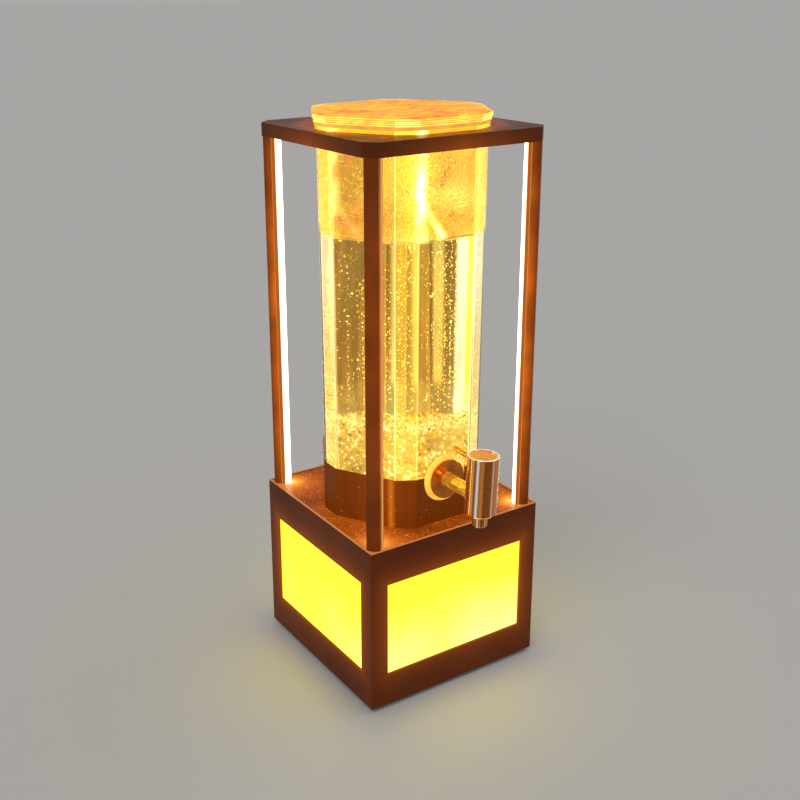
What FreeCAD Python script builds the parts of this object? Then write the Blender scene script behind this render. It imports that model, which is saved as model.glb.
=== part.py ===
"""Lighted beer tower: a clear six-sided barrel in a lantern frame, on a glowing base, with a quarter-turn tap.

Row frame: +Z up, the floor at z = 0, the tap on the -Y side.  Every node is drawn about the tower's own
axis and then stood on it; the axis lies a little behind the origin, because the tap reaches forward and the
origin is the middle of the whole footprint.  All lengths are millimetres and angles are degrees.
"""
import FreeCAD, Part
import math
import os
import re

import Sketcher

Vector = FreeCAD.Vector
doc = FreeCAD.newDocument("beer_tower")

# --------------------------------------------------------------------------------------- driving sizes
SIZES = {
    # frame and base box
    "frame_width": 160.0,
    "frame_height": 440.0,
    "base_top": 138.2,
    "foot_height": 4.0,
    "foot_radius": 8.0,
    "foot_taper": 1.0,
    "foot_spread": 56.0,
    "shell_wall": 2.0,
    "shell_corner": 1.2,
    "window_margin": 14.7,
    "window_bottom": 30.3,
    "window_top": 108.3,
    "window_lap": 6.0,
    "pane_thickness": 2.5,
    "pane_play": 0.1,
    "pane_groove": 3.0,
    "column_gap": 0.5,
    "cover_thickness": 2.5,
    "cover_play": 0.2,
    "deck_drop": 0.8,
    "deck_thickness": 3.0,
    "pilot_radius": 1.3,
    "screw_radius": 1.25,
    "screw_hole": 1.7,
    "screw_head": 2.8,
    "screw_head_height": 1.8,
    "screw_bite": 10.0,
    "screw_tip": 1.0,
    "wire_hole": 1.2,
    "cut_past": 1.0,
    # posts and their lights
    "corner_cut": 9.5,
    "post_inset": 0.2,
    "post_width": 10.5,
    "post_depth": 9.0,
    "post_wall": 1.2,
    "post_edge": 0.8,
    "post_play": 0.15,
    "plug_length": 10.0,
    "plug_play": 0.1,
    "diffuser_width": 12.6,
    "diffuser_proud": 3.8,
    "diffuser_lap": 2.2,
    "diffuser_play": 0.2,
    "strip_width": 5.6,
    "strip_thickness": 0.6,
    "strip_margin": 3.8,
    "strip_pitch": 16.7,
    "led_size": 5.0,
    "led_height": 1.4,
    # top tray
    "tray_height": 10.4,
    "tray_skin": 2.0,
    "tray_wall": 1.5,
    "tray_edge": 0.7,
    "tray_boss": 3.2,
    "tray_boss_set": 13.0,
    "liner_thickness": 3.0,
    "liner_play": 0.15,
    # barrel: half widths over the long faces and over the narrow corner faces
    "barrel_flat": 61.0,
    "barrel_corner": 65.6,
    "barrel_draft": 2.0,
    "barrel_wall": 3.2,
    "barrel_floor": 4.0,
    "barrel_play": 0.3,
    "rim_ledge": 0.7,
    "rim_thickness": 2.8,
    "socket_wall": 0.8,
    "socket_depth": 40.2,
    "socket_play": 0.1,
    "notch_play": 0.3,
    "pad_thickness": 2.0,
    "pad_margin": 3.0,
    "pad_hole_play": 0.6,
    "socket_screw_spread": 34.0,
    "socket_screw_bite": 5.0,
    # lid stack
    "lid_thickness": 3.0,
    "lid_base_thickness": 2.8,
    "seal_thickness": 2.5,
    "plug_depth": 10.0,
    "lid_play": 0.6,
    "seal_step": 0.5,
    "base_step": 0.5,
    "lid_step": 0.9,
    "lid_edge": 0.8,
    # tap
    "tap_rise": 33.8,
    "tap_reach": 107.4,
    "tap_radius": 12.1,
    "tap_drop": 11.8,
    "tap_shoulder": 12.9,
    "tap_lift": 34.7,
    "tap_lean": 2.4,
    "tap_bevel": 1.2,
    "seam_gap": 0.3,
    "neck_radius": 9.6,
    "neck_height": 8.0,
    "chamber_radius": 7.5,
    "chamber_depth": 7.8,
    "shank_radius": 5.5,
    "shank_bore": 3.4,
    "shank_hole": 6.0,
    "shank_tail": 2.0,
    "nozzle_radius": 5.8,
    "nozzle_length": 9.8,
    "nozzle_thread": 5.0,
    "nozzle_bore": 3.6,
    "nozzle_bite": 3.4,
    "nozzle_edge": 0.4,
    "washer_radius": 19.0,
    "washer_face": 16.0,
    "washer_thickness": 3.0,
    "washer_edge": 0.8,
    "washer_gap": 0.15,
    "rosette_radius": 15.7,
    "rosette_thickness": 2.2,
    "rosette_dish": 1.4,
    "rosette_edge": 0.4,
    "rosette_lip": 1.2,
    "rosette_seat": 2.5,
    "inner_washer_radius": 11.0,
    "inner_washer_thickness": 2.0,
    "nut_flats": 19.0,
    "nut_thickness": 5.0,
    "disc_thickness": 2.0,
    "disc_port": 2.0,
    "disc_offset": 4.2,
    "film": 0.05,
    "stem_radius": 3.5,
    "collar_radius": 6.4,
    "collar_height": 1.2,
    "tang_length": 8.0,
    "tang_width": 2.0,
    "tang_height": 0.8,
    "gland_flange": 9.4,
    "gland_flange_height": 1.5,
    "gland_bite": 6.0,
    "stem_seal_height": 2.0,
    "cap_bore": 10.2,
    "cap_edge": 0.5,
    "web_height": 23.4,
    "web_thickness": 7.4,
    "badge_radius": 11.0,
    "badge_thickness": 1.2,
    "badge_depth": 1.0,
    "lever_radius": 2.4,
    "lever_length": 35.0,
    "lever_root": 6.5,
    "lever_rise": 28.0,
    "lever_edge": 0.8,
    "cap_screw_head": 4.5,
    "cap_screw_height": 1.4,
    "cap_screw_room": 1.0,
    # power parts in the base
    "rear_height": 16.0,
    "button_side": 25.0,
    "button_radius": 4.2,
    "button_play": 0.1,
    "button_travel": 1.5,
    "button_set": 0.4,
    "button_edge": 0.4,
    "button_flange": 0.5,
    "button_flange_height": 1.2,
    "bezel_lip": 3.0,
    "bezel_radius": 7.0,
    "bezel_rim": 1.0,
    "bezel_barrel": 5.5,
    "bezel_depth": 8.0,
    "switch_size": 10.0,
    "switch_depth": 6.0,
    "switch_wall": 1.0,
    "plunger_radius": 1.5,
    "plunger_reach": 1.0,
    "port_width": 9.0,
    "port_height": 3.2,
    "port_depth": 7.5,
    "port_wall": 0.35,
    "port_back": 1.0,
    "port_tongue": 0.7,
    "port_inset": 1.0,
    "port_board_width": 16.0,
    "port_board_length": 14.0,
    "board_thickness": 1.6,
    "cell_radius": 9.2,
    "cell_length": 65.0,
    "cell_gap": 1.2,
    "cell_seat": 0.1,
    "tray_floor": 2.0,
    "tray_side": 1.6,
    "tray_rise": 13.0,
    "battery_back": 17.0,
    "boss_radius": 2.6,
    "boss_height": 4.0,
    "control_width": 46.0,
    "control_length": 30.0,
    "control_side": 15.0,
    "control_back": 33.0,
    "chip_size": 10.0,
    "chip_height": 1.8,
    "coil_radius": 4.5,
    "coil_height": 5.0,
    "coil_side": 14.0,
    "header_size": 7.0,
    "header_height": 6.0,
    "header_pitch": 9.0,
    "header_edge": 2.5,
    "light_width": 100.0,
    "light_rise": 30.0,
    "light_pitch": 21.0,
    "standoff_inset": 6.0,
}

PICK = 0.01      # how near an edge has to lie to a height or distance to be picked by it

sheet = doc.addObject("Spreadsheet::Sheet", "Sizes")
for row, (alias, size) in enumerate(SIZES.items(), start=1):
    sheet.set("A%d" % row, str(size))
    sheet.setAlias("A%d" % row, alias)
doc.recompute()

# Heights and widths that several pieces share, each worked out from the driving sizes.
SHARED = {
    "tower_y": "(tap_reach + tap_radius - half - bezel_rim) / 2",
    "half": "(frame_width / 2)",
    "shell_inner": "(half - shell_wall)",
    "column_inner": "(half - window_margin + column_gap)",
    "cover_top": "(foot_height + cover_thickness)",
    "deck_top": "(base_top - deck_drop)",
    "deck_under": "(deck_top - deck_thickness)",
    "pane_bottom": "(window_bottom - window_lap)",
    "tray_under": "(frame_height - tray_height)",
    "tray_inner": "(half - tray_wall)",
    "inner_cut": "(corner_cut - (2 - sqrt(2)) * tray_wall)",
    "post_outer": "((frame_width - corner_cut) / sqrt(2) - post_inset)",
    "post_inner": "(post_outer - post_depth)",
    "post_web": "(post_outer - post_wall)",
    "post_screw": "((post_inner + post_web) / 2 + wire_hole / 2)",
    "strip_bottom": "(deck_top + plug_length + strip_margin)",
    "strip_run": "(tray_under - plug_length - strip_margin - strip_bottom)",
    "boss_spot": "(post_screw / sqrt(2) - tray_boss_set)",
    "socket_floor": "(deck_top + socket_wall)",
    "barrel_bottom": "(socket_floor + pad_thickness)",
    "barrel_height": "(frame_height - barrel_bottom)",
    "opening_flat": "(barrel_flat + barrel_draft + barrel_play)",
    "opening_corner": "(barrel_corner + barrel_draft + barrel_play)",
    "rim_flat": "(opening_flat + rim_ledge)",
    "rim_corner": "(opening_corner + rim_ledge)",
    "rim_top": "(frame_height + rim_thickness)",
    "seal_top": "(rim_top + seal_thickness)",
    "base_lid_top": "(seal_top + lid_base_thickness)",
    "lid_top": "(base_lid_top + lid_thickness)",
    "plug_flat": "(barrel_flat + barrel_draft - barrel_wall - lid_play)",
    "plug_corner": "(barrel_corner + barrel_draft - barrel_wall - lid_play)",
    "tap_z": "(barrel_bottom + tap_rise)",
    "wall_front": "(barrel_flat + barrel_draft * (tap_rise + washer_radius) / barrel_height + washer_gap)",
    "wall_back": "(barrel_flat + barrel_draft * (tap_rise - inner_washer_radius) / barrel_height"
                 " - barrel_wall - washer_gap)",
    "nut_front": "(wall_back - inner_washer_thickness)",
    "nut_back": "(nut_front - nut_thickness)",
    "chamber_floor": "(0 - chamber_depth)",
    "disc_seam": "(chamber_floor + disc_thickness)",
    "disc_top": "(disc_seam + film + disc_thickness)",
    "neck_top": "(tap_shoulder + neck_height)",
    "gland_bottom": "(neck_top - gland_bite)",
    "web_top": "(web_height + web_thickness)",
    "badge_floor": "(tap_lift - badge_depth - badge_thickness)",
    "switch_front": "(half - bezel_depth)",
    "battery_length": "(cell_length + 2 * tray_side + 2 * cell_gap)",
    "battery_width": "(4 * cell_radius + 2 * tray_side + 3 * cell_gap)",
    "light_under": "(cover_top + light_rise)",
    "port_board_top": "(rear_height - port_height / 2)",
}
ALIAS = re.compile(r"\b(%s)\b" % "|".join(sorted(SIZES, key=len, reverse=True)))
NAME = re.compile(r"\b(%s)\b" % "|".join(sorted(SHARED, key=len, reverse=True)))


def expr(text):
    """Return an expression in which shared names are spelled out and driving sizes point at the sheet."""
    text = str(text)
    while NAME.search(text):
        text = NAME.sub(lambda found: "(%s)" % SHARED[found.group(1)], text)
    return ALIAS.sub(r"Sizes.\1", text)


def value(text):
    """Return the present value of an expression, for the first guess of a sketch and for geometric picks."""
    names = dict(SIZES, sqrt=math.sqrt)
    names["cos"] = lambda angle: math.cos(math.radians(angle))
    names["sin"] = lambda angle: math.sin(math.radians(angle))
    names["floor"] = math.floor
    return float(evaluate(expr(text).replace("Sizes.", ""), names))


def evaluate(text, names):
    """Work out a plain sum of names, numbers, brackets, + - * / and one-argument functions."""
    tokens = re.findall(r"\d+\.?\d*(?:e-?\d+)?|[A-Za-z_]\w*|[-+*/()]", text)

    def term_chain(position):
        result, position = factor_chain(position)
        while position < len(tokens) and tokens[position] in "+-":
            sign = 1 if tokens[position] == "+" else -1
            right, position = factor_chain(position + 1)
            result += sign * right
        return result, position

    def factor_chain(position):
        result, position = atom(position)
        while position < len(tokens) and tokens[position] in "*/":
            divide = tokens[position] == "/"
            right, position = atom(position + 1)
            result = result / right if divide else result * right
        return result, position

    def atom(position):
        token = tokens[position]
        if token == "-":
            result, position = atom(position + 1)
            return -result, position
        if token == "(":
            result, position = term_chain(position + 1)
            return result, position + 1
        if token[0].isdigit():
            return float(token), position + 1
        if callable(names[token]):
            result, position = term_chain(position + 2)
            return names[token](result), position + 1
        return names[token], position + 1

    return term_chain(0)[0]


# ------------------------------------------------------------------------------------ document helpers
def stand(thing, x="0", y="0", z="0", turn=None):
    """Stand a finished object on the tower axis, moved by x, y, z from it, after an optional turn."""
    if turn is not None:
        thing.Placement = FreeCAD.Placement(Vector(0, 0, 0), turn)
    thing.setExpression("Placement.Base.x", expr(x))
    thing.setExpression("Placement.Base.y", expr("tower_y + (%s)" % y))
    thing.setExpression("Placement.Base.z", expr(z))
    return thing


def about_z(angle):
    return FreeCAD.Rotation(Vector(0, 0, 1), angle)


OUTWARD = FreeCAD.Rotation(Vector(1, 0, 0), 90)     # turns a local +Z towards the tap side, -Y


def body(name):
    thing = doc.addObject("PartDesign::Body", name)
    thing.Label = name
    return thing


def sketch(owner, plane, offset="0"):
    """Add an empty sketch on one of the body's own planes, lifted off it by an expression."""
    flat = next(f for f in owner.Origin.OriginFeatures if f.Role == plane)
    result = owner.newObject("Sketcher::SketchObject", owner.Name + "_sketch")
    result.AttachmentSupport = [(flat, "")]
    result.MapMode = "FlatFace"
    result.setExpression("AttachmentOffset.Base.z", expr(offset))
    return result


def pin_point(target, index, end, x, y):
    """Hold one end of a sketch element at two expressions measured from the sketch's origin."""
    for kind, size in (("DistanceX", x), ("DistanceY", y)):
        held = target.addConstraint(Sketcher.Constraint(kind, -1, 1, index, end, value(size)))
        target.setExpression("Constraints[%d]" % held, expr(size))


def loop(target, points):
    """Draw a closed polygon whose corners are pairs of expressions."""
    start = target.GeometryCount
    spots = [Vector(value(x), value(y), 0) for x, y in points]
    count = len(points)
    for here in range(count):
        target.addGeometry(Part.LineSegment(spots[here], spots[(here + 1) % count]), False)
    for here in range(count):
        target.addConstraint(
            Sketcher.Constraint("Coincident", start + here, 2, start + (here + 1) % count, 1))
    for here, (x, y) in enumerate(points):
        pin_point(target, start + here, 1, x, y)


def ring(target, radius, x="0", y="0"):
    """Draw a circle with its radius and centre held by expressions."""
    index = target.addGeometry(Part.Circle(Vector(value(x), value(y), 0), Vector(0, 0, 1), value(radius)), False)
    held = target.addConstraint(Sketcher.Constraint("Radius", index, value(radius)))
    target.setExpression("Constraints[%d]" % held, expr(radius))
    pin_point(target, index, 3, x, y)


def block(target, left, bottom, right, top):
    """Draw a rectangle between two corners."""
    loop(target, [(left, bottom), (right, bottom), (right, top), (left, top)])


def square(target, half_side):
    block(target, "-(%s)" % half_side, "-(%s)" % half_side, half_side, half_side)


def cut_square(target, half_side, cut):
    """Draw a square whose four corners are cut off at 45 degrees."""
    near = "(%s) - (%s)" % (half_side, cut)
    far = "(%s)" % half_side
    loop(target, [("-(%s)" % near, "-" + far), (near, "-" + far), (far, "-(%s)" % near), (far, near),
                  (near, far), ("-(%s)" % near, far), ("-" + far, near), ("-" + far, "-(%s)" % near)])


def six_sides(target, flat, corner):
    """Draw the barrel's section: a hexagon of long faces whose corners are cut by narrow faces.

    flat is the distance from the axis to a long face and corner the distance to a narrow face.
    Two long faces look along Y, two narrow ones along X.
    """
    reach = "(2 * (%s) - sqrt(3) * (%s))" % (flat, corner)
    points = []
    for turn in range(0, 360, 60):
        for side in ("-", ""):
            across = "(%s%s)" % (side, reach)
            points.append(("(%s) * cos(%d) - %s * sin(%d)" % (corner, turn, across, turn),
                           "(%s) * sin(%d) + %s * cos(%d)" % (corner, turn, across, turn)))
    loop(target, points)


def pad(owner, profile, length, reverse=False):
    result = owner.newObject("PartDesign::Pad", owner.Name + "_pad")
    result.Profile = profile
    result.setExpression("Length", expr(length))
    result.Reversed = reverse
    doc.recompute()
    return result


def pocket(owner, profile, depth=None, reverse=False, both=False):
    """Cut a sketch out of the body: to a depth, or right through when no depth is given."""
    result = owner.newObject("PartDesign::Pocket", owner.Name + "_pocket")
    result.Profile = profile
    result.Reversed = reverse
    if both:
        result.SideType = "Symmetric"
    if depth is None:
        result.Type = "ThroughAll"
    else:
        result.setExpression("Length", expr(depth))
    doc.recompute()
    return result


def loft(owner, kind, sections):
    """Join sketches by a straight-sided loft; kind is Additive or Subtractive."""
    result = owner.newObject("PartDesign::%sLoft" % kind, owner.Name + "_loft")
    result.Profile = sections[0]
    result.Sections = sections[1:]
    result.Ruled = True
    doc.recompute()
    return result


def soften(owner, radius, picked, kind="Fillet"):
    """Round or bevel the edges of the body's last feature that the test picks."""
    base = owner.Tip
    names = ["Edge%d" % (n + 1) for n, edge in enumerate(base.Shape.Edges) if picked(edge)]
    result = owner.newObject("PartDesign::" + kind, owner.Name + "_edge")
    result.Base = (base, names)
    result.setExpression("Radius" if kind == "Fillet" else "Size", expr(radius))
    doc.recompute()
    return result


def turned(name, *profiles):
    """Make a turned body from closed profiles of (radius, height) pairs, about its own Z axis."""
    thing = body(name)
    drawing = sketch(thing, "XZ_Plane")
    for profile in profiles:
        loop(drawing, profile)
    result = thing.newObject("PartDesign::Revolution", name + "_turn")
    result.Profile = drawing
    result.ReferenceAxis = (drawing, ["V_Axis"])
    result.Angle = 360
    doc.recompute()
    return thing


def tube(inner, outer, bottom, top):
    """Return the profile of a plain turned ring."""
    return [(inner, bottom), (outer, bottom), (outer, top), (inner, top)]


def solid_box(name, low, size):
    """Make a Part box from its low corner and its three sizes, in the tower's own place."""
    thing = doc.addObject("Part::Box", name)
    for side, length in zip(("Length", "Width", "Height"), size):
        thing.setExpression(side, expr(length))
    for letter, start in zip("xyz", low):
        thing.setExpression("Placement.Base." + letter, expr(start))
    return thing


def solid_rod(name, radius, length, start, turn=None):
    """Make a Part cylinder from the middle of its first end, along Z unless turned."""
    thing = doc.addObject("Part::Cylinder", name)
    if turn is not None:
        thing.Placement = FreeCAD.Placement(Vector(0, 0, 0), turn)
    thing.setExpression("Radius", expr(radius))
    thing.setExpression("Height", expr(length))
    for letter, place in zip("xyz", start):
        thing.setExpression("Placement.Base." + letter, expr(place))
    return thing


def joined(name, parts):
    thing = doc.addObject("Part::MultiFuse", name)
    thing.Shapes = parts
    return thing


def without(name, base, tools):
    """Cut one or more tools out of a base object."""
    thing = doc.addObject("Part::Cut", name)
    thing.Base = base
    thing.Tool = tools[0] if len(tools) == 1 else joined(name + "_tools", tools)
    return thing


def group(name, parts):
    """Gather separate solids into one node."""
    thing = doc.addObject("Part::Compound", name)
    thing.Label = name
    thing.Links = parts
    return thing


nodes = []


def keep(thing, name=None):
    """Label an object as a node of the part."""
    if name:
        thing.Label = name
    nodes.append(thing)
    return thing


CORNERS = {"front_left": 225, "front_right": 315, "back_right": 45, "back_left": 135}
QUARTERS = ((-1, -1), (1, -1), (1, 1), (-1, 1))


def signed(sign, text):
    return "%d * (%s)" % (sign, text)


# ------------------------------------------------------------------------------------------- base box
def make_base_shell():
    """The box of the base: four walls with a window each, and four corner columns moulded inside."""
    shell = body("base_shell")
    outline = sketch(shell, "XY_Plane", "foot_height")
    square(outline, "half")
    pad(shell, outline, "base_top - foot_height")
    upright = lambda edge: abs(edge.tangentAt(edge.FirstParameter).z) > 0.99
    soften(shell, "shell_corner", upright)
    cavity = sketch(shell, "XY_Plane", "base_top")
    square(cavity, "shell_inner")
    pocket(shell, cavity)
    columns = sketch(shell, "XY_Plane", "cover_top")
    grooves = sketch(shell, "XY_Plane", "pane_bottom")
    slot = "(pane_thickness + pane_play)"
    for sx, sy in QUARTERS:
        near_x, far_x = signed(sx, "column_inner"), signed(sx, "shell_inner + shell_wall / 2")
        near_y, far_y = signed(sy, "column_inner"), signed(sy, "shell_inner + shell_wall / 2")
        block(columns, near_x, near_y, far_x, far_y)
        end_x, end_y = signed(sx, "column_inner + pane_groove"), signed(sy, "column_inner + pane_groove")
        face_x, face_y = signed(sx, "shell_inner"), signed(sy, "shell_inner")
        back_x, back_y = signed(sx, "shell_inner - " + slot), signed(sy, "shell_inner - " + slot)
        open_x, open_y = signed(sx, "column_inner - column_gap"), signed(sy, "column_inner - column_gap")
        block(grooves, open_x, back_y, end_x, face_y)
        block(grooves, back_x, open_y, face_x, end_y)
    pad(shell, columns, "deck_under - cover_top")
    pocket(shell, grooves, "deck_under - pane_bottom", reverse=True)
    relief = sketch(shell, "XY_Plane", "base_top")
    for angle in CORNERS.values():
        side, far = "(post_width / 2 + post_play)", "(post_outer + post_play)"
        loop(relief, [("%s * cos(%d) - %s%s * sin(%d)" % (reach, angle, sign, side, angle),
                       "%s * sin(%d) + %s%s * cos(%d)" % (reach, angle, sign, side, angle))
                      for reach, sign in (("post_inner", "-"), (far, "-"), (far, ""), ("post_inner", ""))])
    pocket(shell, relief, "deck_drop")
    for plane in ("XZ_Plane", "YZ_Plane"):
        window = sketch(shell, plane)
        block(window, "window_margin - half", "window_bottom", "half - window_margin", "window_top")
        pocket(shell, window, both=True)
    feet = sketch(shell, "XY_Plane", "cover_top")
    heads = sketch(shell, "XY_Plane", "deck_under")
    for sx, sy in QUARTERS:
        ring(feet, "pilot_radius", signed(sx, "(column_inner + shell_inner) / 2"),
             signed(sy, "(column_inner + shell_inner) / 2"))
        ring(heads, "pilot_radius", signed(sx, "post_screw / sqrt(2)"), signed(sy, "post_screw / sqrt(2)"))
    pocket(shell, feet, "screw_bite + screw_tip", reverse=True)
    pocket(shell, heads, "screw_bite + screw_tip")
    rear = sketch(shell, "XZ_Plane", "-half")
    ring(rear, "bezel_barrel + button_play", "-button_side", "rear_height")
    block(rear, "button_side - port_width / 2 - button_play", "rear_height - port_height / 2 - button_play",
          "button_side + port_width / 2 + button_play", "rear_height + port_height / 2 + button_play")
    pocket(shell, rear, "2 * shell_wall", reverse=True)
    return keep(stand(shell))


def make_deck():
    """The plate that closes the base, set just below the shell's edge."""
    deck = body("deck_plate")
    outline = sketch(deck, "XY_Plane", "deck_under")
    square(outline, "shell_inner - cover_play")
    pad(deck, outline, "deck_thickness")
    holes = sketch(deck, "XY_Plane", "deck_top")
    for sx, sy in QUARTERS:
        ring(holes, "screw_hole", signed(sx, "post_screw / sqrt(2)"), signed(sy, "post_screw / sqrt(2)"))
        ring(holes, "pilot_radius", signed(sx, "socket_screw_spread"), signed(sy, "socket_screw_spread"))
        ring(holes, "wire_hole", signed(sx, "post_inner / sqrt(2)"), signed(sy, "post_inner / sqrt(2)"))
    pocket(deck, holes)
    return keep(stand(deck))


def make_panes():
    """Four opal panes, each slid down a pair of grooves behind its window."""
    span = "column_inner + pane_groove - pane_play"
    for side, turn in (("front", 0), ("right", 90), ("back", 180), ("left", 270)):
        pane = body("window_" + side)
        outline = sketch(pane, "XY_Plane", "pane_bottom")
        block(outline, "-(%s)" % span, "-shell_inner", span, "pane_thickness - shell_inner")
        pad(pane, outline, "window_top + window_lap - pane_bottom")
        keep(stand(pane, turn=about_z(turn)))


def make_cover():
    """The floor of the base, with the bosses that carry the boards."""
    cover = body("bottom_cover")
    outline = sketch(cover, "XY_Plane", "foot_height")
    square(outline, "shell_inner - cover_play")
    pad(cover, outline, "cover_thickness")
    bosses = sketch(cover, "XY_Plane", "cover_top")
    for sx, sy in QUARTERS:
        ring(bosses, "boss_radius", "%d * (control_width / 2 - standoff_inset) - control_side" % sx,
             "control_back + %d * (control_length / 2 - standoff_inset)" % sy)
    pad(cover, bosses, "boss_height")
    pillars = sketch(cover, "XY_Plane", "cover_top")
    for sy in (-1, 1):
        ring(pillars, "boss_radius", "button_side",
             "half - shell_wall - port_board_length / 2 + %d * (port_board_length / 2 - boss_radius - port_inset)" % sy)
    pad(cover, pillars, "port_board_top - board_thickness - cover_top")
    holes = sketch(cover, "XY_Plane", "cover_top")
    for sx, sy in QUARTERS:
        ring(holes, "screw_hole", signed(sx, "(column_inner + shell_inner) / 2"),
             signed(sy, "(column_inner + shell_inner) / 2"))
    pocket(cover, holes)
    return keep(stand(cover))


def make_screw(name, head_bottom, head_height, shank_low, shank_high, x, y):
    """A plain screw as a head and a shank, fused, anywhere about the tower axis."""
    head = solid_rod(name + "_head", "screw_head", head_height, (x, y, head_bottom))
    shank = solid_rod(name + "_shank", "screw_radius", "(%s) - (%s)" % (shank_high, shank_low), (x, y, shank_low))
    return joined(name + "_screw", [head, shank])


def make_base_fasteners():
    """Cover screws under the base, and the rubber feet."""
    screws = []
    feet = []
    place = "(column_inner + shell_inner) / 2"
    for number, (sx, sy) in enumerate(QUARTERS):
        screws.append(make_screw("cover_%d" % number, "foot_height - screw_head_height", "screw_head_height",
                                 "foot_height", "cover_top + screw_bite", signed(sx, place), signed(sy, place)))
        foot = doc.addObject("Part::Cone", "foot_%d" % number)
        foot.setExpression("Radius1", expr("foot_radius - foot_taper"))
        foot.setExpression("Radius2", expr("foot_radius"))
        foot.setExpression("Height", expr("foot_height"))
        foot.setExpression("Placement.Base.x", expr(signed(sx, "foot_spread")))
        foot.setExpression("Placement.Base.y", expr(signed(sy, "foot_spread")))
        feet.append(foot)
    keep(stand(group("cover_screws", screws)))
    keep(stand(group("rubber_feet", feet)))


# -------------------------------------------------------------------------------------- power and light
def make_battery():
    """Two round cells side by side in an open tray on the cover."""
    low_x, low_y = "-battery_length / 2", "-battery_back - battery_width"
    outer = solid_box("battery_outer", (low_x, low_y, "cover_top"),
                      ("battery_length", "battery_width", "tray_floor + tray_rise"))
    inner = solid_box("battery_inner", (low_x + " + tray_side", low_y + " + tray_side", "cover_top + tray_floor"),
                      ("battery_length - 2 * tray_side", "battery_width - 2 * tray_side", "tray_rise + cut_past"))
    keep(stand(without("battery_holder", outer, [inner])))
    along_x = FreeCAD.Rotation(Vector(0, 1, 0), 90)
    height = "cover_top + tray_floor + cell_radius + cell_seat"
    cells = []
    for number, place in enumerate(("tray_side + cell_gap + cell_radius", "tray_side + 2 * cell_gap + 3 * cell_radius")):
        cells.append(solid_rod("cell_%d" % number, "cell_radius", "cell_length",
                               ("-cell_length / 2", "%s + %s" % (low_y, place), height), along_x))
    keep(stand(group("battery_cells", cells)))


def make_boards():
    """The charge and control board, and the raised light board with its grid of lamps."""
    control_top = "cover_top + boss_height + board_thickness"
    low_x, low_y = "-control_side - control_width / 2", "control_back - control_length / 2"
    plate = solid_box("control_plate", (low_x, low_y, "cover_top + boss_height"),
                      ("control_width", "control_length", "board_thickness"))
    chip = solid_box("control_chip", ("-control_side - chip_size / 2", "control_back - chip_size / 2", control_top),
                     ("chip_size", "chip_size", "chip_height"))
    coil = solid_rod("control_coil", "coil_radius", "coil_height",
                     ("coil_side - control_side", "control_back", control_top))
    headers = [solid_box("control_header_%d" % n, (low_x + " + header_edge",
                                                   low_y + " + header_edge + %d * header_pitch" % n, control_top),
                         ("header_size", "header_size", "header_height")) for n in range(3)]
    keep(stand(joined("control_board", [plate, chip, coil] + headers)))
    light = solid_box("light_plate", ("-light_width / 2", "-light_width / 2", "light_under"),
                      ("light_width", "light_width", "board_thickness"))
    keep(stand(group("light_board", [light])))
    lamps = []
    legs = []
    for row in range(5):
        for column in range(5):
            x, y = "%d * light_pitch - led_size / 2" % (column - 2), "%d * light_pitch - led_size / 2" % (row - 2)
            lamps.append(solid_box("lamp_%d_%d" % (row, column), (x, y, "light_under + board_thickness"),
                                   ("led_size", "led_size", "led_height")))
    for number, (sx, sy) in enumerate(QUARTERS):
        inset = "light_width / 2 - standoff_inset"
        legs.append(solid_rod("leg_%d" % number, "boss_radius", "light_rise",
                              (signed(sx, inset), signed(sy, inset), "cover_top")))
    keep(stand(group("light_board_lamps", lamps)))
    keep(stand(group("light_board_standoffs", legs)))


def make_button():
    """The push button in the rear wall: bezel, sprung cap, and the switch behind it.

    The turned parts look backwards: local +Z points to +Y, with height 0 at the rear wall's outer face.
    """
    backward = FreeCAD.Rotation(Vector(1, 0, 0), -90)
    bore, well = "button_radius + button_play", "button_radius + button_flange + button_play"
    bezel = turned("button_bezel", [
        (well, "-bezel_depth"), ("bezel_barrel", "-bezel_depth"), ("bezel_barrel", "0"),
        ("bezel_radius", "0"), ("bezel_radius", "bezel_rim / 2"), ("bezel_radius - bezel_rim / 2", "bezel_rim"),
        (bore, "bezel_rim"), (bore, "-bezel_lip"), (well, "-bezel_lip")])
    top, flange = "bezel_rim - button_set", "-bezel_lip - button_play"
    waist, tip = flange + " - button_flange_height", "-bezel_depth - button_play - plunger_reach"
    button = turned("power_button", [
        ("0", tip), ("plunger_radius", tip), ("plunger_radius", waist), ("button_radius + button_flange", waist),
        ("button_radius + button_flange", flange), ("button_radius", flange),
        ("button_radius", top + " - button_edge"), ("button_radius - button_edge", top), ("0", top)])
    for thing in (bezel, button):
        keep(stand(thing, "-button_side", "half", "rear_height", backward))
    case = solid_box("switch_case", ("-button_side - switch_size / 2", "switch_front - switch_depth",
                                     "rear_height - switch_size / 2"), ("switch_size", "switch_depth", "switch_size"))
    well = solid_rod("switch_well", "plunger_radius + button_play", "switch_depth - switch_wall",
                     ("-button_side", "switch_front + film", "rear_height"), OUTWARD)
    keep(stand(without("button_switch", case, [well])))


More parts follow.
